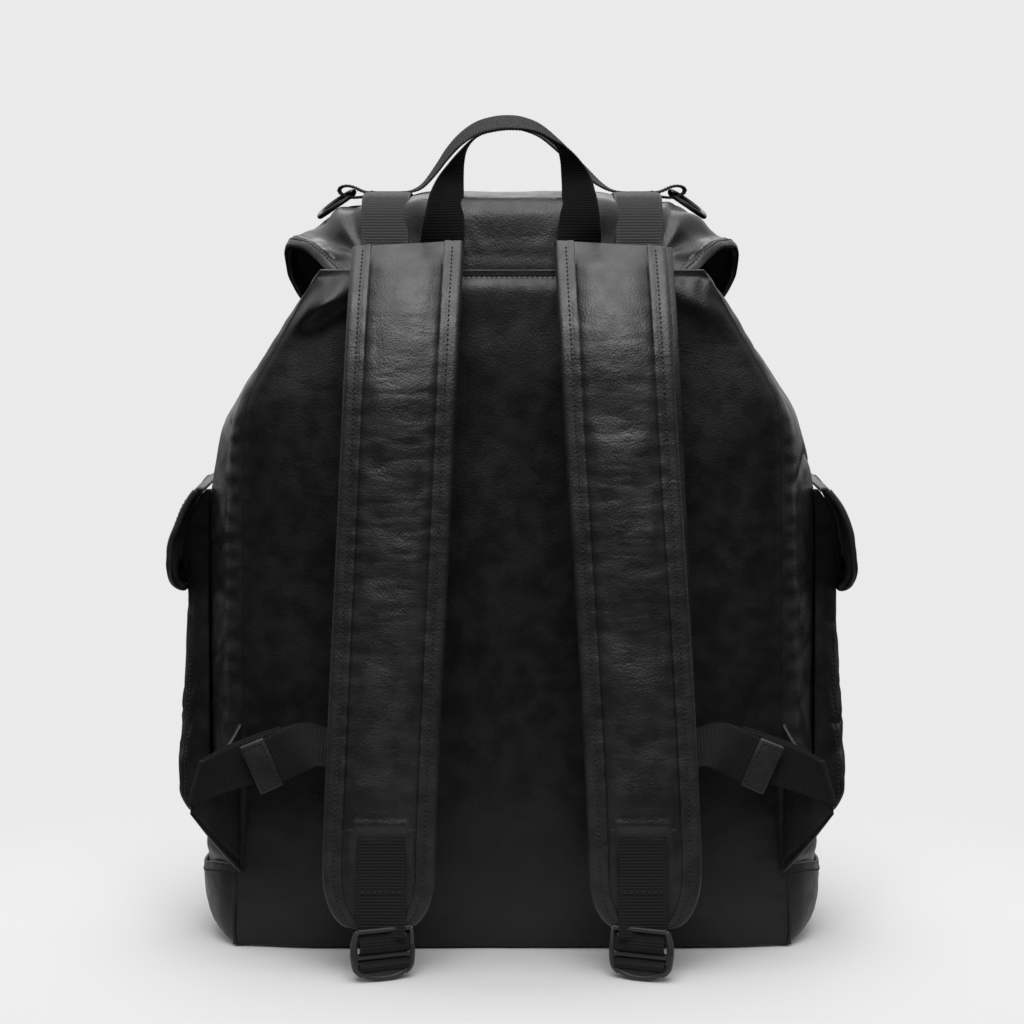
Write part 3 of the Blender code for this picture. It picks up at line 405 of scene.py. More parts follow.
def stitches(b, pts, normals, mat, pitch=.0027, size=.0018, r=.00050, lift=.00012):
    """A row of thread stitches along a path that lies on a surface."""
    pts, normals = np.asarray(pts, float), np.asarray(normals, float)
    L = arclen(pts)
    m = max(1, int(L[-1] / pitch))
    c = (np.arange(m) + .5) / m * L[-1]
    f = lambda q, X: np.stack([np.interp(q, L, X[:, k]) for k in range(3)], -1)
    C, Nn = f(c, pts), unit(f(c, normals))
    T = unit(f(np.minimum(c + .0008, L[-1]), pts) - f(np.maximum(c - .0008, 0), pts))
    B = unit(np.cross(Nn, T))
    Nn = np.cross(T, B)
    C = C + Nn * lift
    prof = [(-.5, .0, -.5), (-.42, .62, -.15), (-.2, 1, .12), (.2, 1, .12), (.42, .62, -.15), (.5, 0, -.5)]
    a = np.arange(6) / 6 * 2 * math.pi
    verts, per = [], 0
    for s, rr, dz in prof:
        if rr == 0:
            verts.append((C + T * s * size + Nn * dz * r)[:, None])
        else:
            verts.append(C[:, None] + T[:, None] * s * size + Nn[:, None] * dz * r
                         + rr * r * (np.cos(a)[None, :, None] * B[:, None] + .75 * np.sin(a)[None, :, None] * Nn[:, None]))
    V = np.concatenate(verts, 1)
    per = V.shape[1]
    q = []
    for k in range(3):
        for j in range(6):
            q.append((1 + k * 6 + j, 1 + (k + 1) * 6 + j, 1 + (k + 1) * 6 + (j + 1) % 6, 1 + k * 6 + (j + 1) % 6))
    t = [(0, 1 + j, 1 + (j + 1) % 6) for j in range(6)] + [(25, 19 + (j + 1) % 6, 19 + j) for j in range(6)]
    off = (np.arange(m) * per)[:, None, None]
    b.add(V.reshape(-1, 3), [(A(q)[None] + off).reshape(-1, 4), (A(t)[None] + off).reshape(-1, 3)], mat)


def frame_to(axis):
    return np.asarray(Vector((0, 0, 1)).rotation_difference(Vector(axis)).to_matrix(), float)


def turned(b, profile, centre, axis, mat, n=36, M=None):
    """A turned shape: closed (radius, height) profile about an axis."""
    R = frame_to(axis) if M is None else M
    a = np.arange(n) / n * 2 * math.pi
    pr = A(profile, float)
    V = np.stack([pr[:, 0][None] * np.cos(a)[:, None], pr[:, 0][None] * np.sin(a)[:, None],
                  np.broadcast_to(pr[:, 1][None], (n, len(pr)))], -1)
    V = V @ R.T + A(centre)
    m = len(pr)
    i, j = np.arange(n)[:, None], np.arange(m - 1)[None]
    i2 = (i + 1) % n
    f = np.stack([(i * m + j).ravel(), (i2 * m + j).ravel(), (i2 * m + j + 1).ravel(), (i * m + j + 1).ravel()], -1)
    b.add(V.reshape(-1, 3), f, mat)


def snap(b, centre, axis, r, depth, mat, dome=True):
    c = A(centre, float) - unit(A(axis, float)) * depth / 2
    p = [(1e-5, 0), (r * .9, 0), (r, depth * .25), (r, depth * .55), (r * .93, depth * .85), (r * .80, depth)]
    p += [(r * .62, depth * 1.02), (r * .55, depth * .80), (r * .30, depth * .70), (1e-5, depth * .68)] if not dome else \
         [(r * .5, depth * 1.12), (r * .2, depth * 1.2), (1e-5, depth * 1.22)]
    turned(b, p, c, axis, mat)


def rbox(b, centre, size, mat, R=None, bevel=.001, seg=3, edit=None):
    bm = bmesh.new()
    bmesh.ops.create_cube(bm, size=1.0)
    bmesh.ops.scale(bm, vec=Vector(size), verts=bm.verts[:])
    bmesh.ops.bevel(bm, geom=bm.edges[:], offset=bevel, segments=seg, affect="EDGES", profile=0.5)
    bm.verts.ensure_lookup_table()
    v = A([p.co[:] for p in bm.verts])
    if edit:
        v = edit(v)
    if R is not None:
        v = v @ np.asarray(R, float).T
    fs = [[p.index for p in f.verts] for f in bm.faces]
    tri = [f for f in fs if len(f) == 3]
    quad = [f for f in fs if len(f) == 4]
    big = [f for f in fs if len(f) > 4]
    bm.free()
    for f in big:
        for q in range(1, len(f) - 1):
            tri.append([f[0], f[q], f[q + 1]])
    b.add(v + A(centre), [A(quad, int).reshape(-1, 4), A(tri, int).reshape(-1, 3)], mat)


# ---------------------------------------------------------------- materials
class Nodes:
    def __init__(self, name):
        self.mat = bpy.data.materials.new(name)
        self.mat.use_nodes = True
        self.nt = self.mat.node_tree
        self.bsdf = next(n for n in self.nt.nodes if n.type == "BSDF_PRINCIPLED")
        self.coord = self.nt.nodes.new("ShaderNodeTexCoord").outputs["Object"]

    def link(self, a, b):
        self.nt.links.new(a, b)

    def noise(self, scale, detail=3.0, rough=.5, stretch=None, distort=0.0):
        n = self.nt.nodes.new("ShaderNodeTexNoise")
        n.inputs["Scale"].default_value = scale
        n.inputs["Detail"].default_value = detail
        n.inputs["Roughness"].default_value = rough
        n.inputs["Distortion"].default_value = distort
        self.link(self.stretched(stretch), n.inputs["Vector"])
        return n.outputs["Fac"]

    def stretched(self, stretch):
        if not stretch:
            return self.coord
        m = self.nt.nodes.new("ShaderNodeMapping")
        m.inputs["Scale"].default_value = stretch
        self.link(self.coord, m.inputs["Vector"])
        return m.outputs["Vector"]

    def voronoi(self, scale, smooth=.25):
        n = self.nt.nodes.new("ShaderNodeTexVoronoi")
        n.feature = "SMOOTH_F1"
        n.inputs["Scale"].default_value = scale
        n.inputs["Smoothness"].default_value = smooth
        w = self.nt.nodes.new("ShaderNodeTexNoise")
        w.inputs["Scale"].default_value = scale * .55
        mix = self.nt.nodes.new("ShaderNodeVectorMath")
        mix.operation = "MULTIPLY_ADD"
        self.link(w.outputs["Color"], mix.inputs[0])
        mix.inputs[1].default_value = (.9 / scale,) * 3
        self.link(self.coord, mix.inputs[2])
        self.link(self.coord, w.inputs["Vector"])
        self.link(mix.outputs[0], n.inputs["Vector"])
        return n.outputs["Distance"]

    def ramp(self, value, a, b, lo=0.0, hi=1.0):
        n = self.nt.nodes.new("ShaderNodeMapRange")
        n.interpolation_type = "SMOOTHSTEP"
        for k, v in (("From Min", lo), ("From Max", hi), ("To Min", a), ("To Max", b)):
            n.inputs[k].default_value = v
        self.link(value, n.inputs["Value"])
        return n.outputs["Result"]

    def bump(self, value, strength, distance, onto=None, invert=False):
        n = self.nt.nodes.new("ShaderNodeBump")
        n.invert = invert
        n.inputs["Strength"].default_value = strength
        n.inputs["Distance"].default_value = distance
        self.link(value, n.inputs["Height"])
        if onto is not None:
            self.link(onto, n.inputs["Normal"])
        return n.outputs["Normal"]

    def mix(self, fac, a, b):
        n = self.nt.nodes.new("ShaderNodeMix")
        n.data_type = "RGBA"
        n.inputs[6].default_value = (*a, 1)
        n.inputs[7].default_value = (*b, 1)
        self.link(fac, n.inputs[0])
        return n.outputs[2]

    def set(self, **kw):
        for k, v in kw.items():
            s = self.bsdf.inputs[k.replace("_", " ")]
            if isinstance(v, (int, float)):
                s.default_value = v
            elif isinstance(v, tuple):
                s.default_value = (*v, 1) if len(v) == 3 else v
            else:
                self.link(v, s)
        return self.mat


def leather(name, base=.0048, rough=.41, grain=.30, crease=.30, stretch=None, spec=.36, shade=None):
    n = Nodes(name)
    g = n.voronoi(880)
    fine = n.noise(2600, 2.0)
    wave = n.noise(34, 5.0, .58, stretch, .8)
    normal = n.bump(wave, crease, .0011)
    normal = n.bump(g, grain, .00028, normal, invert=True)
    normal = n.bump(fine, .12, .00010, normal)
    tone = n.noise(21, 3.0)
    tint = n.ramp(tone, 0, 1, .3, .7)
    if shade:                                 # deep shade under a flap, from height shade[0] up to shade[1]
        z = n.nt.nodes.new("ShaderNodeSeparateXYZ")
        n.link(n.coord, z.inputs[0])
        spec = n.ramp(z.outputs["Z"], spec, .04, *shade)
    return n.set(Base_Color=n.mix(tint, (base * .8,) * 3, (base * 1.25, base * 1.25, base * 1.3)),
                 Roughness=n.ramp(n.noise(90, 4.0), rough - .06, rough + .08, .3, .7), Normal=normal, Specular_IOR_Level=spec)


def cloth_mat(name, base, rough=.85, scale=1900, strength=.5):
    n = Nodes(name)
    w = n.voronoi(scale, .1)
    return n.set(Base_Color=n.mix(w, (base * .75,) * 3, (base * 1.2, base * 1.2, base * 1.25)), Roughness=rough,
                 Normal=n.bump(w, strength, .00025), Specular_IOR_Level=.35)


def hard(name, base, rough, metallic=0.0, scale=700, strength=.08):
    n = Nodes(name)
    v = n.noise(scale, 3.0)
    return n.set(Base_Color=n.mix(v, (base * .9,) * 3, (base * 1.1,) * 3), Roughness=n.ramp(n.noise(120, 3.0), rough - .05, rough + .07, .3, .7),
                 Metallic=metallic, Normal=n.bump(v, strength, .0001))


LEATHER = leather("leather_body")
LEATHER_STRAP = leather("leather_strap", .0085, .41, .42, .34, (1, 1, 2.6), .48)
LEATHER_LID = leather("leather_lid", .0062, .40, .34, .38, None, .42)
LEATHER_EDGE = leather("leather_edge", .010, .40, .2, .1, None, .5)
# painted sheen: the side gussets get a lighter base colour and stronger specular than the body leather, standing in for
# side light
LEATHER_PAINTED_SHEEN = leather("leather_side_painted_sheen", .0060, .38, .26, .26, None, .62)
LEATHER_POCKET = leather("leather_pocket", .0045, .41, .30, .30, None, .34, (.188, .204))
LINING = cloth_mat("lining_cloth", .012, .9, 1400, .4)
WEBBING = cloth_mat("webbing_weave", .015, .70)
WEBBING_MID = cloth_mat("webbing_weave_mid", .0060, .80)
WEBBING_MID.node_tree.nodes["Principled BSDF"].inputs["Specular IOR Level"].default_value = .20
# painted shade: a darker, less glossy copy of the webbing weave for the carry handle, standing in for the shade on its
# legs
WEBBING_PAINTED_SHADE = cloth_mat("webbing_weave_painted_shade", .0020, .90)
WEBBING_PAINTED_SHADE.node_tree.nodes["Principled BSDF"].inputs["Specular IOR Level"].default_value = .12
THREAD = cloth_mat("thread_black", .006, .7, 5200, .5)
METAL = hard("black_metal", .014, .40, .85)
PLASTIC = hard("black_plastic", .013, .32)
FOAM = cloth_mat("foam_padding", .10, .95, 1100, .8)
BOARD = cloth_mat("base_fibreboard", .16, .9, 500, .3)
CORD = cloth_mat("cord_braid", .022, .8, 2300, .7)

# --------------------------------------------------------------- body form
Y0 = BACK_Y + .0023


def side_pt(t, z):
    """Right side of the body, t 0..1 from the back seam to the front seam."""
    t, z = np.broadcast_arrays(np.asarray(t, float), np.asarray(z, float))
    p, w, f, d = SEAM(z), SIDE(z), FRONTH(z), FRONTY(z)
    u = np.clip(t, 0, 1) ** .8
    x = p + (f - p) * t + (w - p - (f - p) * .4) * 4 * u * (1 - u)
    return np.stack([x, Y0 + (d - .0003 - Y0) * t, z], -1)


def front_pt(s, z):
    s, z = np.broadcast_arrays(np.asarray(s, float), np.asarray(z, float))
    return np.stack([s * FRONTH(z), FRONTY(z) + .006 * (1 - s * s), z], -1)


def u_path(n, z, grow=0.0):
    """Ring of n points round the sides and front at one height, smoothed at the front corners."""
    u = np.linspace(0, 1, n)
    P = np.where((u < .5)[:, None], 0, 0.0) + np.zeros((n, 3))
    L = u < .36
    R = u > .64
    M = ~L & ~R
    q = side_pt(u[L] / .36, z)
    q[:, 0] *= -1
    P[L] = q
    P[R] = side_pt((1 - u[R]) / .36, z)
    P[M] = front_pt((u[M] - .5) / .14, z)
    for _ in range(30):
        P[1:-1] = P[1:-1] * .5 + (P[:-2] + P[2:]) * .25
    T = unit(np.gradient(P, axis=0))
    out = np.stack([-T[:, 1], T[:, 0], T[:, 2] * 0], -1)
    if (out * (P - A([0, -.01, z]))).sum() < 0:
        out = -out
    fade = sstep((P[:, 1] - BACK_Y) / .012)
    P = P + out * (A(grow) * (.35 + .65 * fade))[:, None] if np.ndim(grow) == 0 else P + out * grow[:, None]
    P[:, 1] = np.maximum(P[:, 1], BACK_Y + .0012)
    return P


def side_x(y, z):
    """Outer x of the right side at y and z (arrays)."""
    y, z = np.broadcast_arrays(np.asarray(y, float), np.asarray(z, float))
    t = np.clip((y - Y0) / (FRONTY(z) - .0003 - Y0), 0, 1)
    return side_pt(t, z)[..., 0]


def push(P, N, amount):
    return P + N * np.asarray(amount)[..., None]


# --------------------------------------------------------------- back panel
nu, nv = 121, 150
s = np.sin(np.linspace(-1, 1, nu) * math.pi / 2)
s = .55 * s + .45 * np.linspace(-1, 1, nu)
zz = np.concatenate([np.linspace(.0008, .02, 12, endpoint=False), np.linspace(.02, .355, 108, endpoint=False), np.linspace(.355, PANEL_TOP + .0013, 30)])
nv = len(zz)
S, Z = np.meshgrid(s, zz, indexing="ij")
X = S * (SEAM(Z) + .0004)
ds, dt, db = SEAM(Z) - np.abs(X), (PANEL_TOP - .0030) - Z, Z + .002
pillow = .0040 * (1 - np.exp(-np.maximum(ds, 0) / .009)) * (1 - np.exp(-np.maximum(dt, 0) / .0036)) * (1 - np.exp(-db / .010))
P0 = np.stack([X, np.full_like(X, BACK_Y), Z], -1)
soft = fbm(P0, (14, 14, 11), 3) * .0011 * sstep(ds / .03) * sstep(dt / .03)
pucker = np.sin(Z / .0125 * 2 * math.pi + 3 * noise(P0, 25)) * .00030 * np.exp(-np.maximum(ds, 0) / .007) * sstep(ds / .003)
pucker_top = np.sin(X / .0105 * 2 * math.pi + 4 * noise(P0, 30)) * .00035 * np.exp(-np.maximum(dt, 0) / .008) * sstep(dt / .002)
cornerfold = np.where(X < 0, .0098, .0022) * np.exp(-((Z - .3562 + (np.abs(X) - .105) * .45) / .0075) ** 2) * np.exp(-((np.abs(X) - .103) / .015) ** 2) * sstep(ds / .007)
sag = .0016 * np.exp(-((Z - .285) / .03) ** 2) * np.exp(-((np.abs(X) - .118) / .02) ** 2)
Y = BACK_Y - pillow - soft - pucker - pucker_top - sag - cornerfold + .0050 * sstep((np.abs(S) - .55) / .45) ** 2 * np.exp(-Z / .05)
Y = Y + .0016 * np.exp(-(ds / .0030) ** 2) * sstep((Z - .050) / .02) * sstep((.365 - Z) / .02)
P = np.stack([X, Y, Z], -1)
pin = 1 - sstep(ds / .012) * sstep((dt - .012) / .060) * sstep((db - .004) / .03)
P[..., 1] -= settle(P, A([0, -1.0, 0]), pin, .0012, .010, .4, soft=3)
b = Build("back_panel_leather")
thick(b, P, .0004, -.0015, (0, -1, 0), LEATHER, LINING)
row = at(np.stack([np.linspace(-1, 1, 60) * .0400, np.full(60, BACK_Y - .0011), np.full(60, PANEL_TOP - .0016)], -1), np.linspace(0, 1, 200))
stitches(b, row, np.tile([0, -1.0, 0], (200, 1)), THREAD, .0027, .0018, .00045, .0002)
b.make("bag", "leather", ["back_panel"])

# padding and lining inside the back
for nm, y0, th, grow, mt, sl, rep, tt in (("back_padding", BACK_Y + .0030, .0050, -.011, FOAM, "foam", "back_foam", .0),
                                         ("back_lining_cloth", BACK_Y + .0086, .0010, -.0095, LINING, "lining", "back_lining", .0004)):
    z2 = np.linspace(.0078, .3625, 60)
    S2, Z2 = np.meshgrid(np.linspace(-1, 1, 40), z2, indexing="ij")
    P = np.stack([S2 * (SEAM(Z2) + grow), np.full_like(S2, y0), Z2], -1)
    P[..., 1] += fbm(P, (30, 30, 22), 3) * tt
    b = Build(nm)
    thick(b, P, .0, -th, (0, -1, 0), mt)
    b.make("bag", sl, [rep])

# ------------------------------------------------------------- side gussets
for side, sx in SIDES:
    t = np.linspace(0, 1, 110) ** 1.15
    z = np.linspace(.0345, .3745, 174)
    T_, Z_ = np.meshgrid(t, z, indexing="ij")
    P = side_pt(T_, Z_)
    N = grid_normals(P)
    if (N[..., 0]).sum() < 0:
        N = -N
    edge = sstep(T_ / .10) * sstep((1 - T_) / .10)
    roll = .0016 * np.exp(-((T_ - .045) / .035) ** 2)
    up = sstep((Z_ - .19) / .10)
    folds = creases(P + sx * 3, (16, 16, 30), 2.2) * (.0004 + .0012 * up)
    d = (fbm(P + sx * 5, (20, 20, 15), 3) * (.0008 + .0008 * up) - folds) * edge + roll
    rib = np.sin(Z_ / .0115 * 2 * math.pi + 3 * noise(P, 22)) * .0003 * np.exp(-T_ / .05) * sstep(T_ / .02)
    P = push(P, N, np.where(Z_ > .06, d + rib, (d + rib) * .4) - .0012 * sstep((Z_ - .345) / .02) - .0012 * sstep((.050 - Z_) / .006))
    P = push(P, N, settle(P, N, 1 - edge * sstep((Z_ - .06) / .03) * sstep((.36 - Z_) / .02), .0009, .010, .5, soft=3))
    P[..., 1] = np.maximum(P[..., 1], BACK_Y + .0007)
    P[..., 0] *= sx
    b = Build("side_gusset_leather_" + side)
    # gussets in the lighter, glossier leather copy: painted sheen
    thick(b, P, .0, -.0017, (sx, 0, 0), LEATHER_PAINTED_SHEEN, LINING)
    b.make("bag", "leather", ["side_gusset_" + side])

# -------------------------------------------------------------- front panel
S_, Z_ = np.meshgrid(np.linspace(-.985, .985, 110), np.linspace(.0455, .3460, 120), indexing="ij")
P = front_pt(S_, Z_)
N = grid_normals(P)
N = N if N[..., 1].sum() > 0 else -N
m = sstep((1 - np.abs(S_)) / .12)
P = push(P, N, (fbm(P, (22, 22, 16), 3) * .0010 - creases(P, (20, 20, 34), 2.4) * .0005 * sstep((Z_ - .22) / .08)) * m)
b = Build("front_panel_leather")
thick(b, P, 0, -.0017, (0, 1, 0), LEATHER, LINING)
for sg in (-1, 1):
    zc = np.linspace(.05, .34, 200)
    row = front_pt(np.full(200, sg * .958), zc)
    stitches(b, row + A([0, .0006, 0]), np.tile([0, 1.0, 0], (200, 1)), THREAD, .0027, .0018)
b.make("bag", "leather", ["front_panel"])

# ---------------------------------------------------------------- base boot
rows = [(.0002, -.0105), (.0004, -.0070), (.0012, -.0042), (.0030, -.0018), (.0060, -.0002), (.0100, .0008)] + \
       [(z, .0010 + .0004 * math.sin(z * 60)) for z in np.linspace(.014, .0405, 18)] + [(.0425, .0012), (.0440, .0013), (.0458, .0013), (.0470, .0012)]
P = np.stack([u_path(330, z, g) for z, g in rows], 1)
P[..., 2] -= .0070 * sstep((P[..., 1] + .070) / .045) * sstep((P[..., 2] - .012) / .035) * sstep((.0535 - P[..., 1]) / .02)
N = grid_normals(P)
c = P - A([0, -.01, .02])
N = N if (N * c).sum() > 0 else -N
k = sstep((P[..., 2] - .004) / .01)
P = push(P, N, fbm(P, (26, 26, 40), 3) * .0005 * k)
b = Build("base_boot_leather")
top = thick(b, P, .0002, -.0018, N, LEATHER, LINING, N=N)
path = np.stack([top[:, -4] * .5 + top[:, -5] * .5, N[:, -4]], 0)
stitches(b, path[0], path[1], THREAD, .0027, .0018)
# floor of the boot: rings closing towards the middle
ring = u_path(120, .0002, -.0105)
mid = A([0, -.012, .0003])
shr = np.linspace(1, .02, 14)
P = np.stack([mid + (ring - mid) * q for q in shr], 1)
P[..., 2] = .0003
P[..., 1] = np.maximum(P[..., 1], BACK_Y + .0012)
thick(b, P, 0, -.0014, (0, 0, -1), LEATHER, LINING)
b.make("bag", "leather", ["base_boot"])

# ------------------------------------------------- collar, cord, cord lock
zz = np.linspace(.338, .3722, 26)
P = np.stack([u_path(260, z, -.0022 - .0026 * float(sstep(A((.356 - z) / .012)))) for z in zz], 1)
N = grid_normals(P)
c = P - A([0, -.01, .36])
N = N if (N * c).sum() > 0 else -N
th = np.linspace(0, 1, 260)[:, None]
gather = np.sin(th * 2 * math.pi * 26 + 3 * noise(P, 40)) * .0007 * sstep((P[..., 2] - .342) / .012)
channel = .0007 * (np.exp(-((P[..., 2] - .3600) / .0050) ** 2))
P = push(P, N, gather + channel)
b = Build("neck_collar_leather")
top = thick(b, P, 0, -.0015, N, LEATHER, LINING, N=N)
for zi in (10, 22):
    stitches(b, top[:, zi], N[:, zi], THREAD, .0027, .0024)
b.make("bag", "leather", ["neck_collar"])

CORD_Z, EYE_X = .3600, .010
EYE_Y = float(front_pt(EYE_X / .1137, CORD_Z)[1])
HANG_Y = EYE_Y + .0165
loA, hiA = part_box("eyelet_left")
cordlo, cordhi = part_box("drawcord")
lklo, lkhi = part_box("cord_lock")
HANG_Y = lklo[1] + .0035
EYE_Y = HANG_Y - .0165
b = Build("drawcord_braid")
inner = u_path(120, CORD_Z, -.0110)
half = inner[(inner[:, 0] < -.014) & (inner[:, 1] > BACK_Y + .014)]
half = half[::4]
front = [(-EYE_X, EYE_Y - .0065, CORD_Z), (-EYE_X, EYE_Y + .004, CORD_Z), (-EYE_X * .98, EYE_Y + .0105, CORD_Z - .0008), (-EYE_X * .80, HANG_Y - .0012, CORD_Z - .0055),
         (-.0052, HANG_Y, CORD_Z - .0145), (-.0048, HANG_Y, .344), (-.0048, HANG_Y, .330), (-.0050, HANG_Y, .316), (-.0056, HANG_Y + .0005, .302)]
pts = np.vstack([half, A(front)])
C = at(pts, np.linspace(0, 1, 340))
full = C
for sg in (1, -1):
    q = full * A([sg, 1, 1])
    L = arclen(q)
    tube(b, q, .0015 + .00014 * np.sin(L / .0022 * 2 * math.pi), CORD, 10)
back = inner[::-1][:]
for sg in (1, -1):
    e = full[-1] * A([sg, 1, 1])
    tube(b, A([e + A([0, 0, q]) for q in (.0012, 0, -.0012, -.0024, -.0034)]), A([.0014, .0021, .0023, .0020, .0008]), PLASTIC, 12)
b.make("bag", "webbing", ["drawcord"])
for side, sx in SIDES:
    lo_, hi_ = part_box("eyelet_" + side)
    slope = math.atan2(float(FRONTY(.350) - FRONTY(.370)), .020)
    R = np.asarray((Matrix.Rotation(math.radians(-90) + slope, 3, "X")), float)
    b = Build("eyelet_metal_" + side)
    pr = [(.0024, 0), (.0044, 0), (.0046, .0003), (.0044, .0008), (.0036, .0013), (.0028, .0013), (.0024, .0009), (.0024, 0)]
    turned(b, pr, (sx * EYE_X, EYE_Y + .0010, CORD_Z), (0, 1, 0), METAL, 36, R)
    b.make("bag", "metal", ["eyelet_" + side])


def lock_form(v):
    k = 1 - .10 * (np.abs(v[:, 2]) / .0075) ** 2
    return np.stack([v[:, 0] * k, v[:, 1], v[:, 2]], -1)


b = Build("cord_lock_barrel")
rbox(b, ((lklo[0] + lkhi[0]) / 2, (lklo[1] + lkhi[1]) / 2, (lklo[2] + lkhi[2]) / 2), (.0198, .0108, .0146), PLASTIC, bevel=.0032, seg=5, edit=lock_form)
yl = lkhi[1]
turned(b, [(.0034, -.0006), (.0048, -.0006), (.0048, .0006), (.0042, .0012), (.0036, .0012), (.0034, .0008), (.0034, -.0006)],
       (0, yl - .0004, .3365), (0, 1, 0), PLASTIC)
for sg in (-1, 1):
    for zc, ax in ((lklo[2], -1), (lkhi[2], 1)):
        turned(b, [(.0017, -.001), (.0028, -.001), (.0028, .0002), (.0023, .0007), (.0018, .0004), (.0017, -.001)], (sg * .0048, HANG_Y, zc - ax * .0004), (0, 0, ax), PLASTIC, 20)
b.make("cord_lock_body", "plastic", ["cord_lock"])
blo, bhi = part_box("cord_lock_button")
b = Build("cord_lock_push_button")
yb = blo[1]
turned(b, [(1e-5, 0), (.0030, 0), (.0030, .0030), (.0028, .0036), (.0022, .0041), (.0010, .0044), (1e-5, .0045)], (0, yb, .3365), (0, 1, 0), PLASTIC)
b.make("cord_button", "plastic", ["cord_lock_button"])

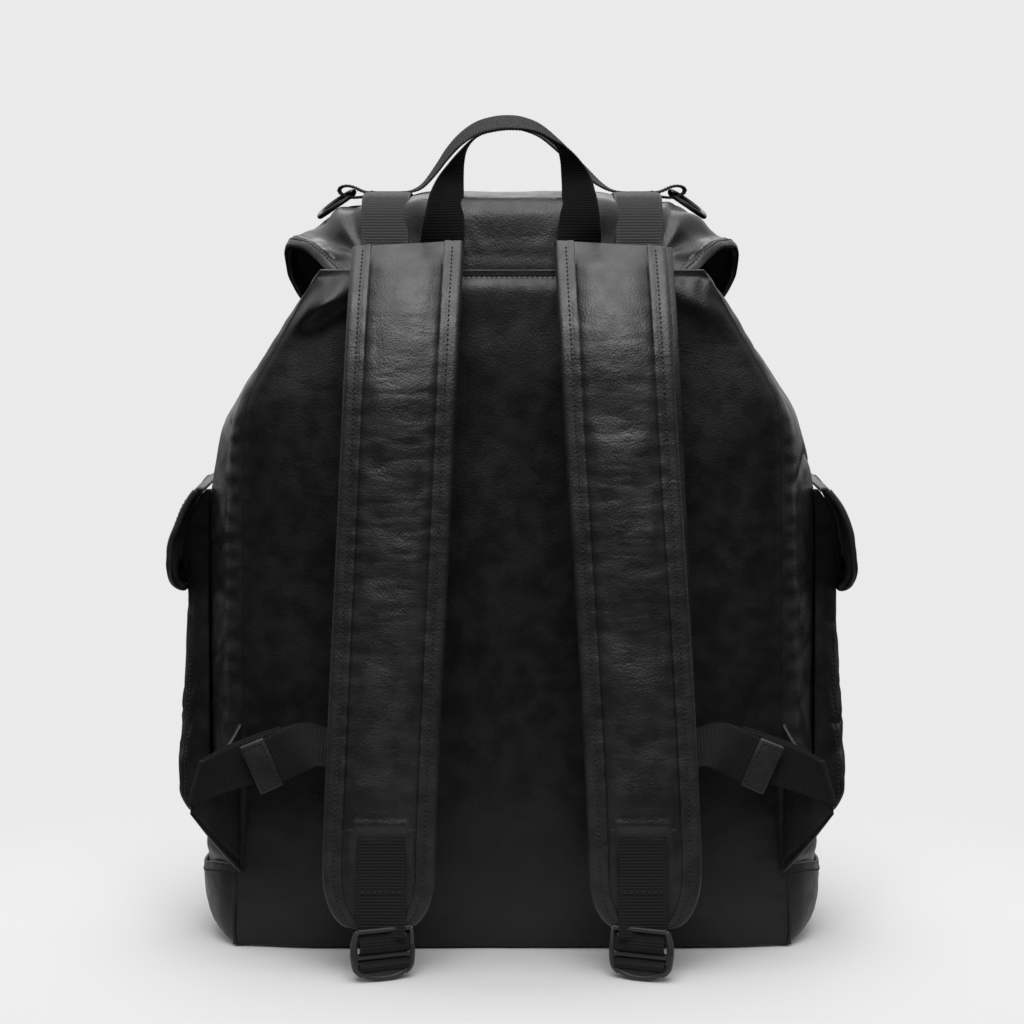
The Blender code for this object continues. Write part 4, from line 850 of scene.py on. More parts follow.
# ------------------------------------------------------------- side pockets
POCKET = pchip([(.0680, .1780), (.0695, .1828), (.0730, .1872), (.0800, .1900), (.0920, .1903), (.1150, .1888), (.1300, .1876), (.1600, .1853), (.1850, .1840), (.2020, .1850), (.2135, .1866), (.2205, .1868), (.2306, .1846), (.2432, .1797), (.2512, .1740), (.2535, .1722)])
for side, sx in SIDES:
    th = np.linspace(-1, 1, 120)
    zz = np.concatenate([np.linspace(.0685, .076, 10, endpoint=False), np.linspace(.076, .2132, 110)])
    TH, Z_ = np.meshgrid(th, zz, indexing="ij")
    raise_ = sstep((np.abs(TH) - .50) / .40) * .0400
    Z_ = np.where(Z_ > .17, .17 + (Z_ - .17) * (1 + raise_ / .0432), Z_)
    ang = TH * math.pi / 2
    yy = .0412 * np.sign(ang) * np.abs(np.sin(ang)) ** .62
    foot = side_x(np.sign(TH) * .0405, Z_) + .0008
    foot = np.where(TH > 0, side_x(.0405 + 0 * TH, Z_), side_x(-.0405 + 0 * TH, Z_)) + .0008
    wide = POCKET(Z_) + .0022 * np.exp(-((Z_ - .2375) / .0105) ** 2) * sstep((np.abs(TH) - .45) / .2)
    P = np.stack([foot + (wide - foot) * np.abs(np.cos(ang)) ** .42, yy, Z_], -1)
    N = grid_normals(P)
    N = N if N[..., 0].sum() > 0 else -N
    m = sstep((1 - np.abs(TH)) / .15)
    soft = fbm(P + sx * 9, (26, 26, 20), 3) * .0013 - creases(P + sx * 2, (20, 20, 34), 2.3) * .0011
    seam = np.exp(-((np.abs(TH) - .62) / .03) ** 2) * .0005
    P = push(P, N, soft * m * .75 * sstep((Z_ - .07) / .03) * sstep((.215 - Z_) / .02) + seam * m)
    P = push(P, N, settle(P, N, 1 - m * sstep((Z_ - .072) / .05) * sstep((.200 - Z_) / .02), .0008, .010, .4))
    P[..., 0] *= sx
    hem = sstep((np.broadcast_to(zz[None], Z_.shape) - .2010) / .0006) * .0010
    b = Build("side_pocket_leather_" + side)
    top = thick(b, P, .0002 + hem, -.0014, (sx, 0, 0), LEATHER_POCKET, LINING)
    Nn = grid_normals(top)
    Nn = Nn if (Nn[..., 0] * sx).sum() > 0 else -Nn
    j = int(np.argmin(np.abs(zz - .2040)))
    stitches(b, top[34:-34, j], Nn[34:-34, j], THREAD, .0027, .0018)
    for i in (18, 101):
        stitches(b, top[i, 8:-42], Nn[i, 8:-42], THREAD, .0027, .0018)
    # floor
    q = np.linspace(0, 1, 12)
    ring = P[:, 0]
    back = np.stack([sx * (side_x(yy[:, 0] * .97, zz[0] + 0 * yy[:, 0]) + .0007), yy[:, 0] * .97, np.full(len(th), zz[0])], -1)
    F = ring[:, None] + (back - ring)[:, None] * (.03 + .97 * q)[None, :, None]
    F[..., 2] = zz[0] + .0002
    thick(b, F, 0, -.0012, (0, 0, -1), LEATHER, LINING, rim=False)
    b.make("bag", "leather", ["side_pocket_" + side])

    # flap: a leaf folded over the pocket's mouth with a bound edge
    FL = [(.1712, .2535), (.1742, .2541), (.1782, .2516), (.1838, .2436), (.1886, .2306), (.1912, .2190), (.1917, .2076), (.1904, .1994), (.1874, .1960), (.1846, .1952)]
    v = np.linspace(0, 1, 70)
    u = np.linspace(-1, 1, 70)
    U, V = np.meshgrid(u, v, indexing="ij")
    prof = at(FL, V.ravel()).reshape(V.shape + (2,)) if False else None
    pr = at(np.column_stack([A(FL)[:, 0], np.zeros(len(FL)), A(FL)[:, 1]]), v)
    half = .0447 * (1 - .30 * sstep((v - .68) / .32) ** 1.6)
    X_ = pr[:, 0][None] + .0006 * np.abs(U) ** 3 * sstep(V * 3) - .0004
    P = np.stack([X_, U * half[None], np.broadcast_to(pr[:, 2][None], U.shape)], -1)
    N = grid_normals(P)
    N = N if N[..., 0].sum() > 0 else -N
    P = push(P, N, fbm(P + sx * 4, (30, 30, 30), 3) * .0007 * sstep(V * 4) - creases(P + sx, (22, 22, 40), 2.4) * .0007 * sstep(V * 4))
    P[..., 0] *= sx
    P[..., 0] += sx * .0004
    b = Build("side_flap_leather_" + side)
    top = thick(b, P, .0004, -.0020, (sx, 0, 0), LEATHER, LINING, k=5)
    Nn = grid_normals(top)
    Nn = Nn if (Nn[..., 0] * sx).sum() > 0 else -Nn
    mid = (top + (P + Nn * -.0012)) / 2
    edge = np.vstack([P[0, 6:], P[1:-1, -1], P[-1, ::-1][:-6]])
    en = np.vstack([Nn[0, 6:], Nn[1:-1, -1], Nn[-1, ::-1][:-6]])
    e2 = edge - en * .0008
    for _ in range(6):
        e2[1:-1] = e2[1:-1] * .5 + (e2[2:] + e2[:-2]) * .25
    tube(b, e2, .00185, LEATHER_EDGE, 12)
    ins = np.vstack([top[5, 8:], top[5:-5, -6], top[-6, ::-1][:-8]])
    ns = np.vstack([Nn[5, 8:], Nn[5:-5, -6], Nn[-6, ::-1][:-8]])
    stitches(b, ins, ns, THREAD, .0027, .0018, .00035, .0002)
    b.make("side_flap_" + side, "leather", ["side_pocket_flap_" + side])
    snap_lo, snap_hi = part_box("side_flap_snap_" + side)
    cx = (snap_lo[0] + snap_hi[0]) / 2
    b = Build("side_flap_snap_cap_" + side)
    snap(b, (cx, 0, .2050), (-sx, 0, 0), .0063, .0015, METAL, False)
    xo = .1917
    snap(b, (sx * (xo + .0003), 0, .2050), (sx, 0, .02), .0066, .0010, METAL)
    b.make("side_flap_" + side, "metal", ["side_flap_snap_" + side])
    snap_lo, snap_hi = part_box("side_pocket_snap_" + side)
    b = Build("side_pocket_snap_stud_" + side)
    snap(b, ((snap_lo[0] + snap_hi[0]) / 2, 0, .2030), (sx, 0, 0), .0063, .0014, METAL, False)
    b.make("bag", "metal", ["side_pocket_snap_" + side])

# ------------------------------------------------------------- front pocket
FPY = pchip([(.0516, .0865), (.0545, .0895), (.062, .0912), (.085, .0928), (.125, .0922), (.165, .0908), (.205, .0895)])
th = np.linspace(-1, 1, 190)
zz = np.concatenate([np.linspace(.0520, .060, 10, endpoint=False), np.linspace(.060, .2052, 110)])
TH, Z_ = np.meshgrid(th, zz, indexing="ij")
ang = TH * math.pi / 2
xx = .0922 * np.sign(ang) * np.abs(np.sin(ang)) ** .60 * (1 - .02 * np.exp(-(Z_ - .052) / .004))
foot = front_pt(np.abs(xx) / FRONTH(Z_), Z_)[..., 1] + .0008
P = np.stack([xx, foot + (FPY(Z_) - foot) * np.abs(np.cos(ang)) ** .30, Z_], -1)
N = grid_normals(P)
N = N if N[..., 1].sum() > 0 else -N
m = sstep((1 - np.abs(TH)) / .12)
soft = fbm(P, (19, 19, 15), 3) * .0016 - creases(P, (15, 15, 26), 2.3) * .0013
seam = np.exp(-((np.abs(TH) - .66) / .022) ** 2) * .0010
P = push(P, N, (soft * sstep((Z_ - .05) / .02) + seam) * m - .0008)
P = push(P, N, settle(P, N, 1 - m * sstep((Z_ - .053) / .02) * sstep((.203 - Z_) / .02), .0010, .012, .5, soft=3))
hem = sstep((Z_ - .1925) / .0006) * .0010
b = Build("front_pocket_leather")
top = thick(b, P, .0002 + hem, -.0014, (0, 1, 0), LEATHER, LINING)
Nn = grid_normals(top)
Nn = Nn if Nn[..., 1].sum() > 0 else -Nn
j = int(np.argmin(np.abs(zz - .1958)))
stitches(b, top[5:-5, j], Nn[5:-5, j], THREAD, .0027, .0018)
for i in (27, 162):
    stitches(b, top[i, 8:-12], Nn[i, 8:-12], THREAD, .0027, .0018)
ring = P[:, 0]
back = np.stack([xx[:, 0] * .985, foot[:, 0] + .0006, np.full(len(th), zz[0])], -1)
F = ring[:, None] + (back - ring)[:, None] * np.linspace(.02, 1, 14)[None, :, None]
F[..., 2] = zz[0] + .0002
thick(b, F, 0, -.0012, (0, 0, -1), LEATHER, LINING, rim=False)
b.make("bag", "leather", ["front_pocket"])

fl_lo, fl_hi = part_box("front_pocket_flap")
hy = fl_lo[1] + .0018
FF = [(0, hy + .0004, .2410), (0, hy + .005, .2424), (0, hy + .013, .2408), (0, hy + .024, .2342), (0, .0938, .2238), (0, .0966, .205), (0, .0972, .185), (0, .0966, .1685)]
v, u = np.linspace(0, 1, 90), np.linspace(-1, 1, 130)
pr = at(FF, v)
U, V = np.meshgrid(u, v, indexing="ij")
half = .0965 * (1 - .13 * sstep((v - .74) / .26) ** 1.5)
drop = np.abs(U) ** 3.2 * sstep(V * 2.5)
P = np.stack([U * half[None], pr[:, 1][None] - .0032 * drop, pr[:, 2][None] - .0016 * drop], -1)
N = grid_normals(P)
N = N if N[..., 1].sum() > 0 else -N
P = push(P, N, (fbm(P + 4, (24, 24, 24), 3) * .0009 - creases(P + 1, (15, 15, 30), 2.3) * .0009) * sstep(V * 4) + .0004)
b = Build("front_flap_leather")
top = thick(b, P, .0004, -.0020, (0, 1, 0), LEATHER, LINING, k=5)
Nn = grid_normals(top)
Nn = Nn if Nn[..., 1].sum() > 0 else -Nn
edge = np.vstack([P[0, 8:], P[1:-1, -1], P[-1, ::-1][:-8]])
en = np.vstack([Nn[0, 8:], Nn[1:-1, -1], Nn[-1, ::-1][:-8]])
e2 = edge - en * .0008
for _ in range(8):
    e2[1:-1] = e2[1:-1] * .5 + (e2[2:] + e2[:-2]) * .25
tube(b, e2, .0018, LEATHER_EDGE, 12)
ins = np.vstack([top[5, 10:], top[5:-5, -7], top[-6, ::-1][:-10]])
ns = np.vstack([Nn[5, 10:], Nn[5:-5, -7], Nn[-6, ::-1][:-10]])
stitches(b, ins, ns, THREAD, .0027, .0018)
b.make("front_flap", "leather", ["front_pocket_flap"])
lo_, hi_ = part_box("front_flap_snap")
b = Build("front_flap_snap_cap")
snap(b, (0, (lo_[1] + hi_[1]) / 2, .182), (0, -1, 0), .0068, .0011, METAL, False)
snap(b, (0, .0979, .182), (0, 1, 0), .0075, .0016, METAL)
b.make("front_flap", "metal", ["front_flap_snap"])
lo_, hi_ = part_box("front_pocket_snap")
b = Build("front_pocket_snap_stud")
snap(b, (0, (lo_[1] + hi_[1]) / 2, .182), (0, 1, 0), .0068, .0014, METAL, False)
b.make("bag", "metal", ["front_pocket_snap"])

# ---------------------------------------------------------------------- lid
KB = [0, .06, .13, .20, .30, .40, .55, .65, .72, .80, .88, 1.0]
LID_M = pchip(np.column_stack([KB, [-.0738, -.0741, -.0733, -.0722, -.0622, -.0170, .0200, .0430, .0590, .0700, .0755, .0772],
                               [.3705, .3850, .3945, .4058, .4165, .4194, .4182, .4130, .4060, .3930, .3720, .3310]]))
LID_DROP = pchip([(0, 0), (.40, .006), (.55, .045), (.65, .13), (.74, .22), (.82, .41), (.88, .58), (.93, .69), (.975, .83), (1, 1)])
LID_E = pchip(np.column_stack([KB, [.0972, .1029, .1098, .1160, .1238, .1276, .1282, .1256, .1230, .1200, .1168, .1115],
                               [-.0722, -.0620, -.0500, -.0390, -.0210, -.0030, .0250, .0420, .0530, .0630, .0705, .0757],
                               [.3716, .3766, .3822, .3860, .3864, .3805, .3705, .3612, .3552, .3490, .3420, .3318]]))


def lid_ab(a, bb):
    """Lid's outer face: a -1..1 across, bb 0..1 from the rear seam to the front hem."""
    a, bb = np.broadcast_arrays(np.asarray(a, float), np.asarray(bb, float))
    M, E = LID_M(bb), LID_E(bb)
    q = np.abs(a)
    drop = LID_DROP(np.clip(q, 0, 1))
    z = M[..., 1] - (M[..., 1] - E[..., 2]) * drop
    y = M[..., 0] + (E[..., 1] - M[..., 0]) * q ** 2
    return np.stack([a * E[..., 0], y, z], -1)


def lid_shape(P, a, bb):
    """Crumples, folds and the pull of the handle and straps in the lid leather."""
    x, y, z = P[..., 0], P[..., 1], P[..., 2]
    q = np.abs(a)
    free = sstep(bb / .10)
    side = sstep((q - .55) / .35)
    d = fbm(P, (15, 15, 15), 3) * .0011 * free
    d += fbm(P * 1.0 + 3, (34, 34, 22), 2) * .0010 * side * free
    for sg in (-1, 1):                        # folds fanning out from the webbing feet to the corners
        rx, rz = x * sg - .080, z - .384
        ang = np.arctan2(rz, np.maximum(rx, .001))
        dist = np.hypot(rx, rz)
        fan = np.sin(ang * 9.0 + 2.2 * noise(P, 28) + (1.0 if sg > 0 else 0)) * np.exp(-((dist - .024) / .018) ** 2)
        d += fan * .0016 * (y < -.01) * sstep((x * sg - .078) / .012) * free
        # diagonal pull lines beside the handle legs
        for x0, k, w, amp in ((.016, .55, .0045, .0009), (.026, .75, .0040, .0007)):
            line = (x * sg - x0) - k * (z - .386)
            d += np.exp(-(line / w) ** 2) * amp * np.exp(-((z - .394) / .012) ** 2) * (y < -.03) * free
    d *= 1 - .65 * (1 - sstep((y + .066) / .02)) * (1 - sstep((np.abs(x) - .084) / .008))
    web = np.exp(-((np.abs(x) - .0695) / .0172) ** 4)
    d -= web * .0022 * sstep(bb / .1)
    return d


def sin_mix(n, k=.72):
    q = np.linspace(-1, 1, n)
    return k * np.sin(q * math.pi / 2) + (1 - k) * q


a = sin_mix(171, .93)
bb = np.concatenate([np.linspace(0, .30, 60, endpoint=False), np.linspace(.30, .80, 70, endpoint=False), np.linspace(.80, .985, 36, endpoint=False), np.linspace(.985, 1, 6)])
AA, BB = np.meshgrid(a, bb, indexing="ij")
LP = lid_ab(AA, BB)
LN = grid_normals(LP)
c = LP - A([0, 0, .37])
LN = LN if (LN * c).sum() > 0 else -LN
seg = np.linalg.norm(np.diff(LP, axis=0), axis=-1)
cum = np.concatenate([np.zeros((1, len(bb))), np.cumsum(seg, 0)], 0)
dside = np.minimum(cum, cum[-1:] - cum)
segv = np.linalg.norm(np.diff(LP, axis=1), axis=-1)
cumv = np.concatenate([np.zeros((len(a), 1)), np.cumsum(segv, 1)], 1)
dfront = cumv[:, -1:] - cumv
drear = cumv
dhem = np.minimum(np.where(BB > .015, dside, 1), dfront)
amp = sstep(dhem / .010) * .8 + .2
P = push(LP, LN, lid_shape(LP, AA, BB) * amp)
P[..., 1] = np.maximum(P[..., 1], -.0737 - .0060 * sstep((BB - .012) / .09))
P = push(P, LN, settle(P, LN, 1 - sstep((dhem - .009) / .01) * sstep(BB / .10) * (1 - sstep((BB - .96) / .03)), .0010, .010, .4, soft=3))
hem = (1 - sstep((dhem - .0085) / .0006)) * .0010 * sstep(BB / .03)
hem = hem + np.sin(np.clip(dhem / .0062, 0, 1) * math.pi) * .0013 * sstep(BB / .03)
b = Build("lid_leather")
top = thick(b, P, hem, -.0018 - hem * .3, None, LEATHER_LID, LINING, k=5, N=LN)


def inset_path(grid, norm, dist_rows, d):
    """Points at a distance d from the low end of each row, by arc length."""
    out, nn = [], []
    for r in range(grid.shape[1]):
        L = np.concatenate([[0], np.cumsum(np.linalg.norm(np.diff(grid[:, r], axis=0), axis=1))])
        out.append([np.interp(d, L, grid[:, r, k]) for k in range(3)])
        nn.append([np.interp(d, L, norm[:, r, k]) for k in range(3)])
    return A(out), A(nn)


for flip in (1, -1):
    g, nn = top[::flip], LN[::flip]
    p_, n_ = inset_path(g[:, 4:-8], nn[:, 4:-8], None, .0064)
    stitches(b, p_, n_, THREAD, .0027, .0018, .00048, .0002)
g, nn = top.transpose(1, 0, 2)[::-1], LN.transpose(1, 0, 2)[::-1]
p_, n_ = inset_path(g[:, 14:-14], nn[:, 14:-14], None, .0064)
stitches(b, p_, n_, THREAD, .0027, .0018, .00048, .0002)
# points along the free edge, not used further
rim = np.vstack([top[0, 2:], top[1:-1, -1], top[-1, ::-1][:-2]])
b.make(None, "leather", ["lid_shell", "back_yoke"], ("bag", "lid", (0, -.075, .380), (0, -.062, .400)))


def lid_path(x, hs, b0, b1, n=160):
    """Rows for a tape that lies on the lid at x, held hs(y) above it."""
    q = np.linspace(b0, b1, n)
    E = LID_E(q)
    a_ = x / E[:, 0]
    p = lid_ab(a_, q)
    e = 1e-3
    da = lid_ab(a_ + e, q) - p
    db_ = lid_ab(a_, np.minimum(q + e, 1.0)) - lid_ab(a_, np.minimum(q + e, 1.0) - 2 * e)
    n_ = unit(np.cross(da, db_))
    if (n_ * (p - A([0, 0, .37]))).sum() < 0:
        n_ = -n_
    n_[:, 0] *= .15
    n_ = unit(n_)
    return p + n_ * hs(p)[:, None], n_


for side, sx in SIDES:
    def hs(p):
        return -.0004 + .0012 * sstep((.405 - p[:, 2]) / .012)
    p_, n_ = lid_path(sx * WEB_X, hs, .055, .965)
    p_ = p_[::5]
    p_ = np.vstack([p_, [p_[-1] + A([0, .0004, -.004])]])
    rows = np.column_stack([p_, np.tile([1.0, 0, 0], (len(p_), 1))])
    b = Build("lid_webbing_tape_" + side)
    ribbon(b, rows, .0262, .0013, WEBBING, A([0, 0, 1.0]))
    b.make("lid", "webbing", ["lid_webbing_" + side])

    # closure strap, hanging from the hem to its snap
    CL = [(.0790, .3440), (.0789, .3385), (.0780, .325), (.0742, .308), (.0690, .290), (.0672, .276), (.0676, .2665)]
    rows = [(sx * WEB_X, y, z, 1, 0, 0) for y, z in CL]
    b = Build("closure_strap_tape_" + side)
    ribbon(b, rows, .026, .0013, WEBBING, A([0, 1.0, 0]))
    # folded end with a leather keeper
    rbox(b, (sx * WEB_X, .0672, .2700), (.0285, .0034, .0150), LEATHER_EDGE, bevel=.0009)
    b.make("closure_" + side, "webbing", ["closure_strap_" + side])
    b = Build("closure_snap_button_" + side)
    lo_, hi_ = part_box("closure_snap_cap_" + side)
    snap(b, (sx * WEB_X, (lo_[1] + hi_[1]) / 2, .2770), (0, -1, 0), .0063, .0015, METAL, False)
    snap(b, (sx * WEB_X, .0686, .2770), (0, 1, 0), .0068, .0014, METAL)
    b.make("closure_" + side, "metal", ["closure_snap_cap_" + side])
    b = Build("closure_snap_stud_" + side)
    lo_, hi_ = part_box("closure_snap_base_" + side)
    snap(b, (sx * WEB_X, (lo_[1] + hi_[1]) / 2, .2770), (0, 1, 0), .0063, .0013, METAL, False)
    b.make("bag", "metal", ["closure_snap_base_" + side])

# ----------------------------------------------------- grab handle and arch
HL = [(-.0380, -.0753, .3850, 1.0, .0236), (-.0380, -.0766, .3882, 1.0, .0236), (-.0379, -.0778, .3925, .99, .0236), (-.0375, -.0774, .3985, .95, .0236), (-.0368, -.0748, .4056, .89, .0236),
      (-.0362, -.0700, .4120, .84, .0235), (-.0355, -.0636, .4180, .77, .0235), (-.0337, -.0530, .4261, .60, .0232), (-.0305, -.0468, .4341, .33, .0228), (-.0266, -.0428, .4412, .10, .0224),
      (-.0223, -.0402, .4464, 0, .0220), (-.0180, -.0388, .4496, 0, .0218), (-.0125, -.0378, .4514, 0, .0216), (-.0028, -.0372, .4528, 0, .0214), (.0080, -.0376, .4523, 0, .0216), (.0160, -.0388, .4501, 0, .0218),
      (.0222, -.0404, .4464, -.05, .0222), (.0276, -.0430, .4424, -.20, .0226), (.0322, -.0466, .4351, -.46, .0230), (.0352, -.0524, .4262, -.68, .0233),
      (.0364, -.0636, .4180, -.77, .0235), (.0368, -.0700, .4120, -.84, .0235), (.0368, -.0748, .4056, -.90, .0236), (.0367, -.0774, .3985, -.96, .0236), (.0366, -.0778, .3925, -1.0, .0236), (.0365, -.0766, .3882, -1.0, .0236), (.0365, -.0753, .3850, -1.0, .0236)]
HLA = A(HL)
rows = []
for x, y, z, c, w in HL:
    ax = unit(A([c, 0, 0]) + A([0, .9995, .02]) * math.sqrt(max(0, 1 - c * c)))
    rows.append((x, y, z, *ax))
b = Build("carry_handle_tape")
# the handle gets the darker webbing copy: painted shade
ribbon(b, rows, HLA[:, 4], .0015, WEBBING_PAINTED_SHADE, None)
b.make("lid", "webbing", ["carry_handle"])

END = [(-.0838, -.004, .41545, 0), (-.0880, -.004, .41500, 0), (-.0925, -.004, .41520, 0), (-.0960, -.004, .41680, 0), (-.0975, -.004, .41890, 0), (-.0963, -.004, .42080, 0),
       (-.0930, -.004, .42150, 0), (-.0895, -.004, .42080, 0), (-.0860, -.004, .41920, 0), (-.0825, -.004, .41800, 0), (-.0775, -.004, .41775, 0), (-.0700, -.004, .41770, 0), (-.0620, -.004, .41780, 0)]
AR = END + [(-.0560, -.0042, .4187, .1), (-.0500, -.0048, .4220, .35), (-.0430, -.0060, .4303, .7), (-.0365, -.0072, .4393, .95), (-.0290, -.0084, .4474, 1), (-.0205, -.0092, .4533, 1), (-.0115, -.0098, .4562, 1),
            (-.0025, -.0100, .4571, 1), (.0062, -.0100, .4561, 1), (.0160, -.0096, .4521, 1), (.0262, -.0086, .4438, 1), (.0350, -.0074, .4352, .95), (.0430, -.0060, .4280, .7), (.0500, -.0048, .4223, .35), (.0560, -.0042, .4190, .1)]
AR += [(-x, y, z, k) for x, y, z, k in END[::-1]]
rows = []
for x, y, z, k in AR:
    ax = unit(A([0, 1, 0]) * (1 - k) + A([0, .948, .318]) * k)
    rows.append((x, y, z, *ax))
b = Build("cross_strap_tape")
ribbon(b, rows, .0245, .0013, WEBBING_MID, A([0, 0, 1.0]))
for sx in (-1, 1):
    row = A([[sx * .0790, -.004 + q, .4184] for q in np.linspace(-.010, .010, 20)])
    stitches(b, row, np.tile([0, 0, 1.0], (20, 1)), THREAD)
b.make("lid", "webbing", ["cross_strap"])

for side, sx in SIDES:
    n = 96
    aa = np.arange(n) / n * 2 * math.pi
    cc, ss = np.cos(aa), np.sin(aa)
    across = .0150 * np.sign(cc) * np.abs(cc) ** .75
    out = .5 * (1 + np.sign(ss) * np.abs(ss) ** .75)
    oval = np.stack([sx * (.0893 + .0193 * out), -.004 + across, .4176 - .0128 * out ** 1.15 + across * .125], -1)
    for _ in range(3):
        oval = oval * .5 + (np.roll(oval, 1, 0) + np.roll(oval, -1, 0)) * .25
    b = Build("ring_wire_" + side)
    tube(b, oval, .0014, METAL, 16, cyclic=True)
    b.make("ring_%s_body" % side, "metal", ["ring_" + side])

# ---------------------------------------------------------- shoulder straps
LINE = [(0, -.0768, .3878), (0, -.0850, .3790), (0, -.0940, .3680), (0, -.1020, .3540), (0, -.1080, .3370), (0, -.1125, .3150), (0, -.1155, .2850), (0, -.1185, .2400),
        (0, -.1220, .1900), (0, -.1260, .1400), (0, -.1305, .0850), (0, -.1340, .0450), (0, -.1352, .0260)]
STRAPX = pchip([(.020, .0714), (.063, .0712), (.0914, .0702), (.165, .0669), (.265, .0620), (.330, .0590), (.390, .0562)])
SL = length(LINE)


def strap_frame(s):
    p = at(LINE, s)
    e = .006
    d = unit(at(LINE, np.clip(s + e, 0, 1)) - at(LINE, np.clip(s - e, 0, 1)))
    n = np.stack([np.zeros(len(d)), d[:, 2], -d[:, 1]], -1)
    n = np.where(n[:, 1:2] > 0, -n, n)
    p[:, 0] = STRAPX(p[:, 2])
    return p, n, d


def strap_half(s):
    d = np.clip((1 - s) * SL, 0, .030)
    return .0145 + .0159 * np.sqrt(np.clip(1 - (1 - d / .030) ** 2, 0, 1))


BAND = .0107
OFF = A([0, .0004, .0010, .0018, .0030, .0045, .0062, .0080, .0095, .0102, .01045, .01075, .0109])
CEN = np.linspace(-1, 1, 43)[1:-1]
ns_ = 400
ss_ = np.linspace(0, 1, ns_)
pp, nn_, dd = strap_frame(ss_)
HALF = strap_half(ss_)
d_end = (1 - ss_) * SL
d_top = ss_ * SL
for side, sx in SIDES:
    inner = np.maximum(HALF - OFF[-1], .0015)
    cols = [-HALF + np.minimum(o, HALF * .88) for o in OFF] + [inner * q for q in np.sign(CEN) * np.abs(CEN) ** .9] + [HALF - np.minimum(o, HALF * .88) for o in OFF[::-1]]
    XO = np.stack(cols, 0)
    nj = XO.shape[0]
    dist = HALF[None] - np.abs(XO)
    base = np.stack([np.broadcast_to((sx * pp[:, 0])[None], XO.shape) + XO, np.broadcast_to(pp[:, 1][None], XO.shape), np.broadcast_to(pp[:, 2][None], XO.shape)], -1)
    if sx > 0:                                # this strap leans a little further in towards the handle
        base[..., 0] -= .0031 * sstep((base[..., 2] - .09) / .28)
    NN = np.broadcast_to(nn_[None], base.shape)
    # the rounded lower end also closes towards the tab
    end_d = np.sqrt(np.clip(d_end, 0, 1))
    rolled = .0030 * np.sqrt(np.clip(1 - (1 - np.clip(dist / .0022, 0, 1)) ** 2, 0, 1))
    band = .0008 + rolled + .0006 * sstep((dist - .002) / .008)
    inb = np.clip((dist - .01055) / .00015, 0, 1)
    q = np.clip(np.abs(XO) / np.maximum(inner[None], 1e-4), 0, 1)
    lowfade = sstep((d_end - .004) / .030)[None]
    tabrec = 1 - .78 * np.exp(-((d_end[None] - .026) / .0365) ** 6)
    crown = (.0046 * (1 - q ** 2.3) ** .62) * (1 - .25 * sstep((d_end[None] - .06) / .2)) * sstep(d_top[None] / .020) * lowfade * tabrec
    h = band * (1 - inb) + (band - .0010 + crown) * inb
    zt_ = base[..., 2]
    xt = np.abs(base[..., 0] - sx * .0700)
    lowtab = sstep((.0800 - zt_) / .002)
    h = h + .0011 * np.exp(-((xt - .0158) / .0018) ** 2) * lowtab * sstep((zt_ - .046) / .02) * inb
    h = h + .0013 * np.exp(-((zt_ - .0815) / .0034) ** 2) * sstep((.0172 - xt) / .003)
    seamdip = -.0004 * np.exp(-((dist - .0062) / .0006) ** 2)
    h = h + seamdip
    Q = base + A([sx * 11.0, 0, 0])
    mid_m = sstep((dist - .0125) / .006) * sstep(d_top[None] / .03) * sstep((d_end[None] - .055) / .03)
    zone = .45 + .85 * np.exp(-((base[..., 2] - .27) / .085) ** 2)
    cr = creases(Q, (24, 24, 80), 1.7) * .00015 + creases(Q + A([0, 0, 3.3]), (50, 50, 150), 1.7) * .00012
    ripple = fbm(Q, (13, 13, 34), 2) * .00075
    puck = np.sin(base[..., 2] / .0117 * 2 * math.pi + 3 * noise(Q, (8, 8, 30))) * .00022 * np.exp(-np.abs(dist - .0120) / .0035)
    h = h + (ripple - cr) * mid_m * zone + puck * sstep((d_end[None] - .05) / .03)
    h = h + settle(base + NN * h[..., None], NN, 1 - inb * sstep((dist - .0115) / .004) * sstep(d_top[None] / .02) * sstep((d_end[None] - .07) / .02), .0004, .006, .4, 12, 3, 1.5, 7)
    wav = fbm(Q, (3, 3, 16), 2) * .0010 * sstep(d_top[None] / .05) * sstep((d_end[None] - .05) / .05)
    P = base + NN * wav[..., None]
    slant = (XO * sx * -.055 * -1) * np.exp(-d_top[None] / .012)
    P[..., 2] += -sx * 0 + np.where(True, -np.abs(0) + (-sx * XO) * .055 * np.exp(-d_top[None] / .012), 0)
    b = Build("shoulder_strap_cover_" + side)
    top = thick(b, P, np.maximum(h, .0006) + .0009, .0012 + .0 * h, None, LEATHER_STRAP, N=NN, k=3)
    for sg, j in ((-1, 6), (1, nj - 7)):
        k0, k1 = 4, int(np.searchsorted(-d_end, -.0045))
        stitches(b, top[j, k0:k1], NN[j, k0:k1], THREAD, .0027, .0018, .00050, .00010)
    b.make("strap_" + side, "leather", ["shoulder_strap_" + side, "strap_foam_" + side])
    b = Build("strap_backing_leather_" + side)
    cols = np.stack([HALF * q for q in np.linspace(-1, 1, 15)], 0)
    base = np.stack([(sx * pp[:, 0])[None] + cols, np.broadcast_to(pp[:, 1][None], cols.shape), np.broadcast_to(pp[:, 2][None], cols.shape)], -1)
    NN2 = np.broadcast_to(nn_[None], base.shape)
    wv = np.stack([np.interp(np.arange(15) / 14, np.linspace(0, 1, nj), wav[:, k]) for k in range(ns_)], 1)
    base = base + NN2 * wv[..., None]
    thick(b, base[:, ::2], .0011, 0, None, LEATHER, N=NN2[:, ::2], k=3)
    b.make("strap_" + side, "leather", ["strap_backing_" + side])

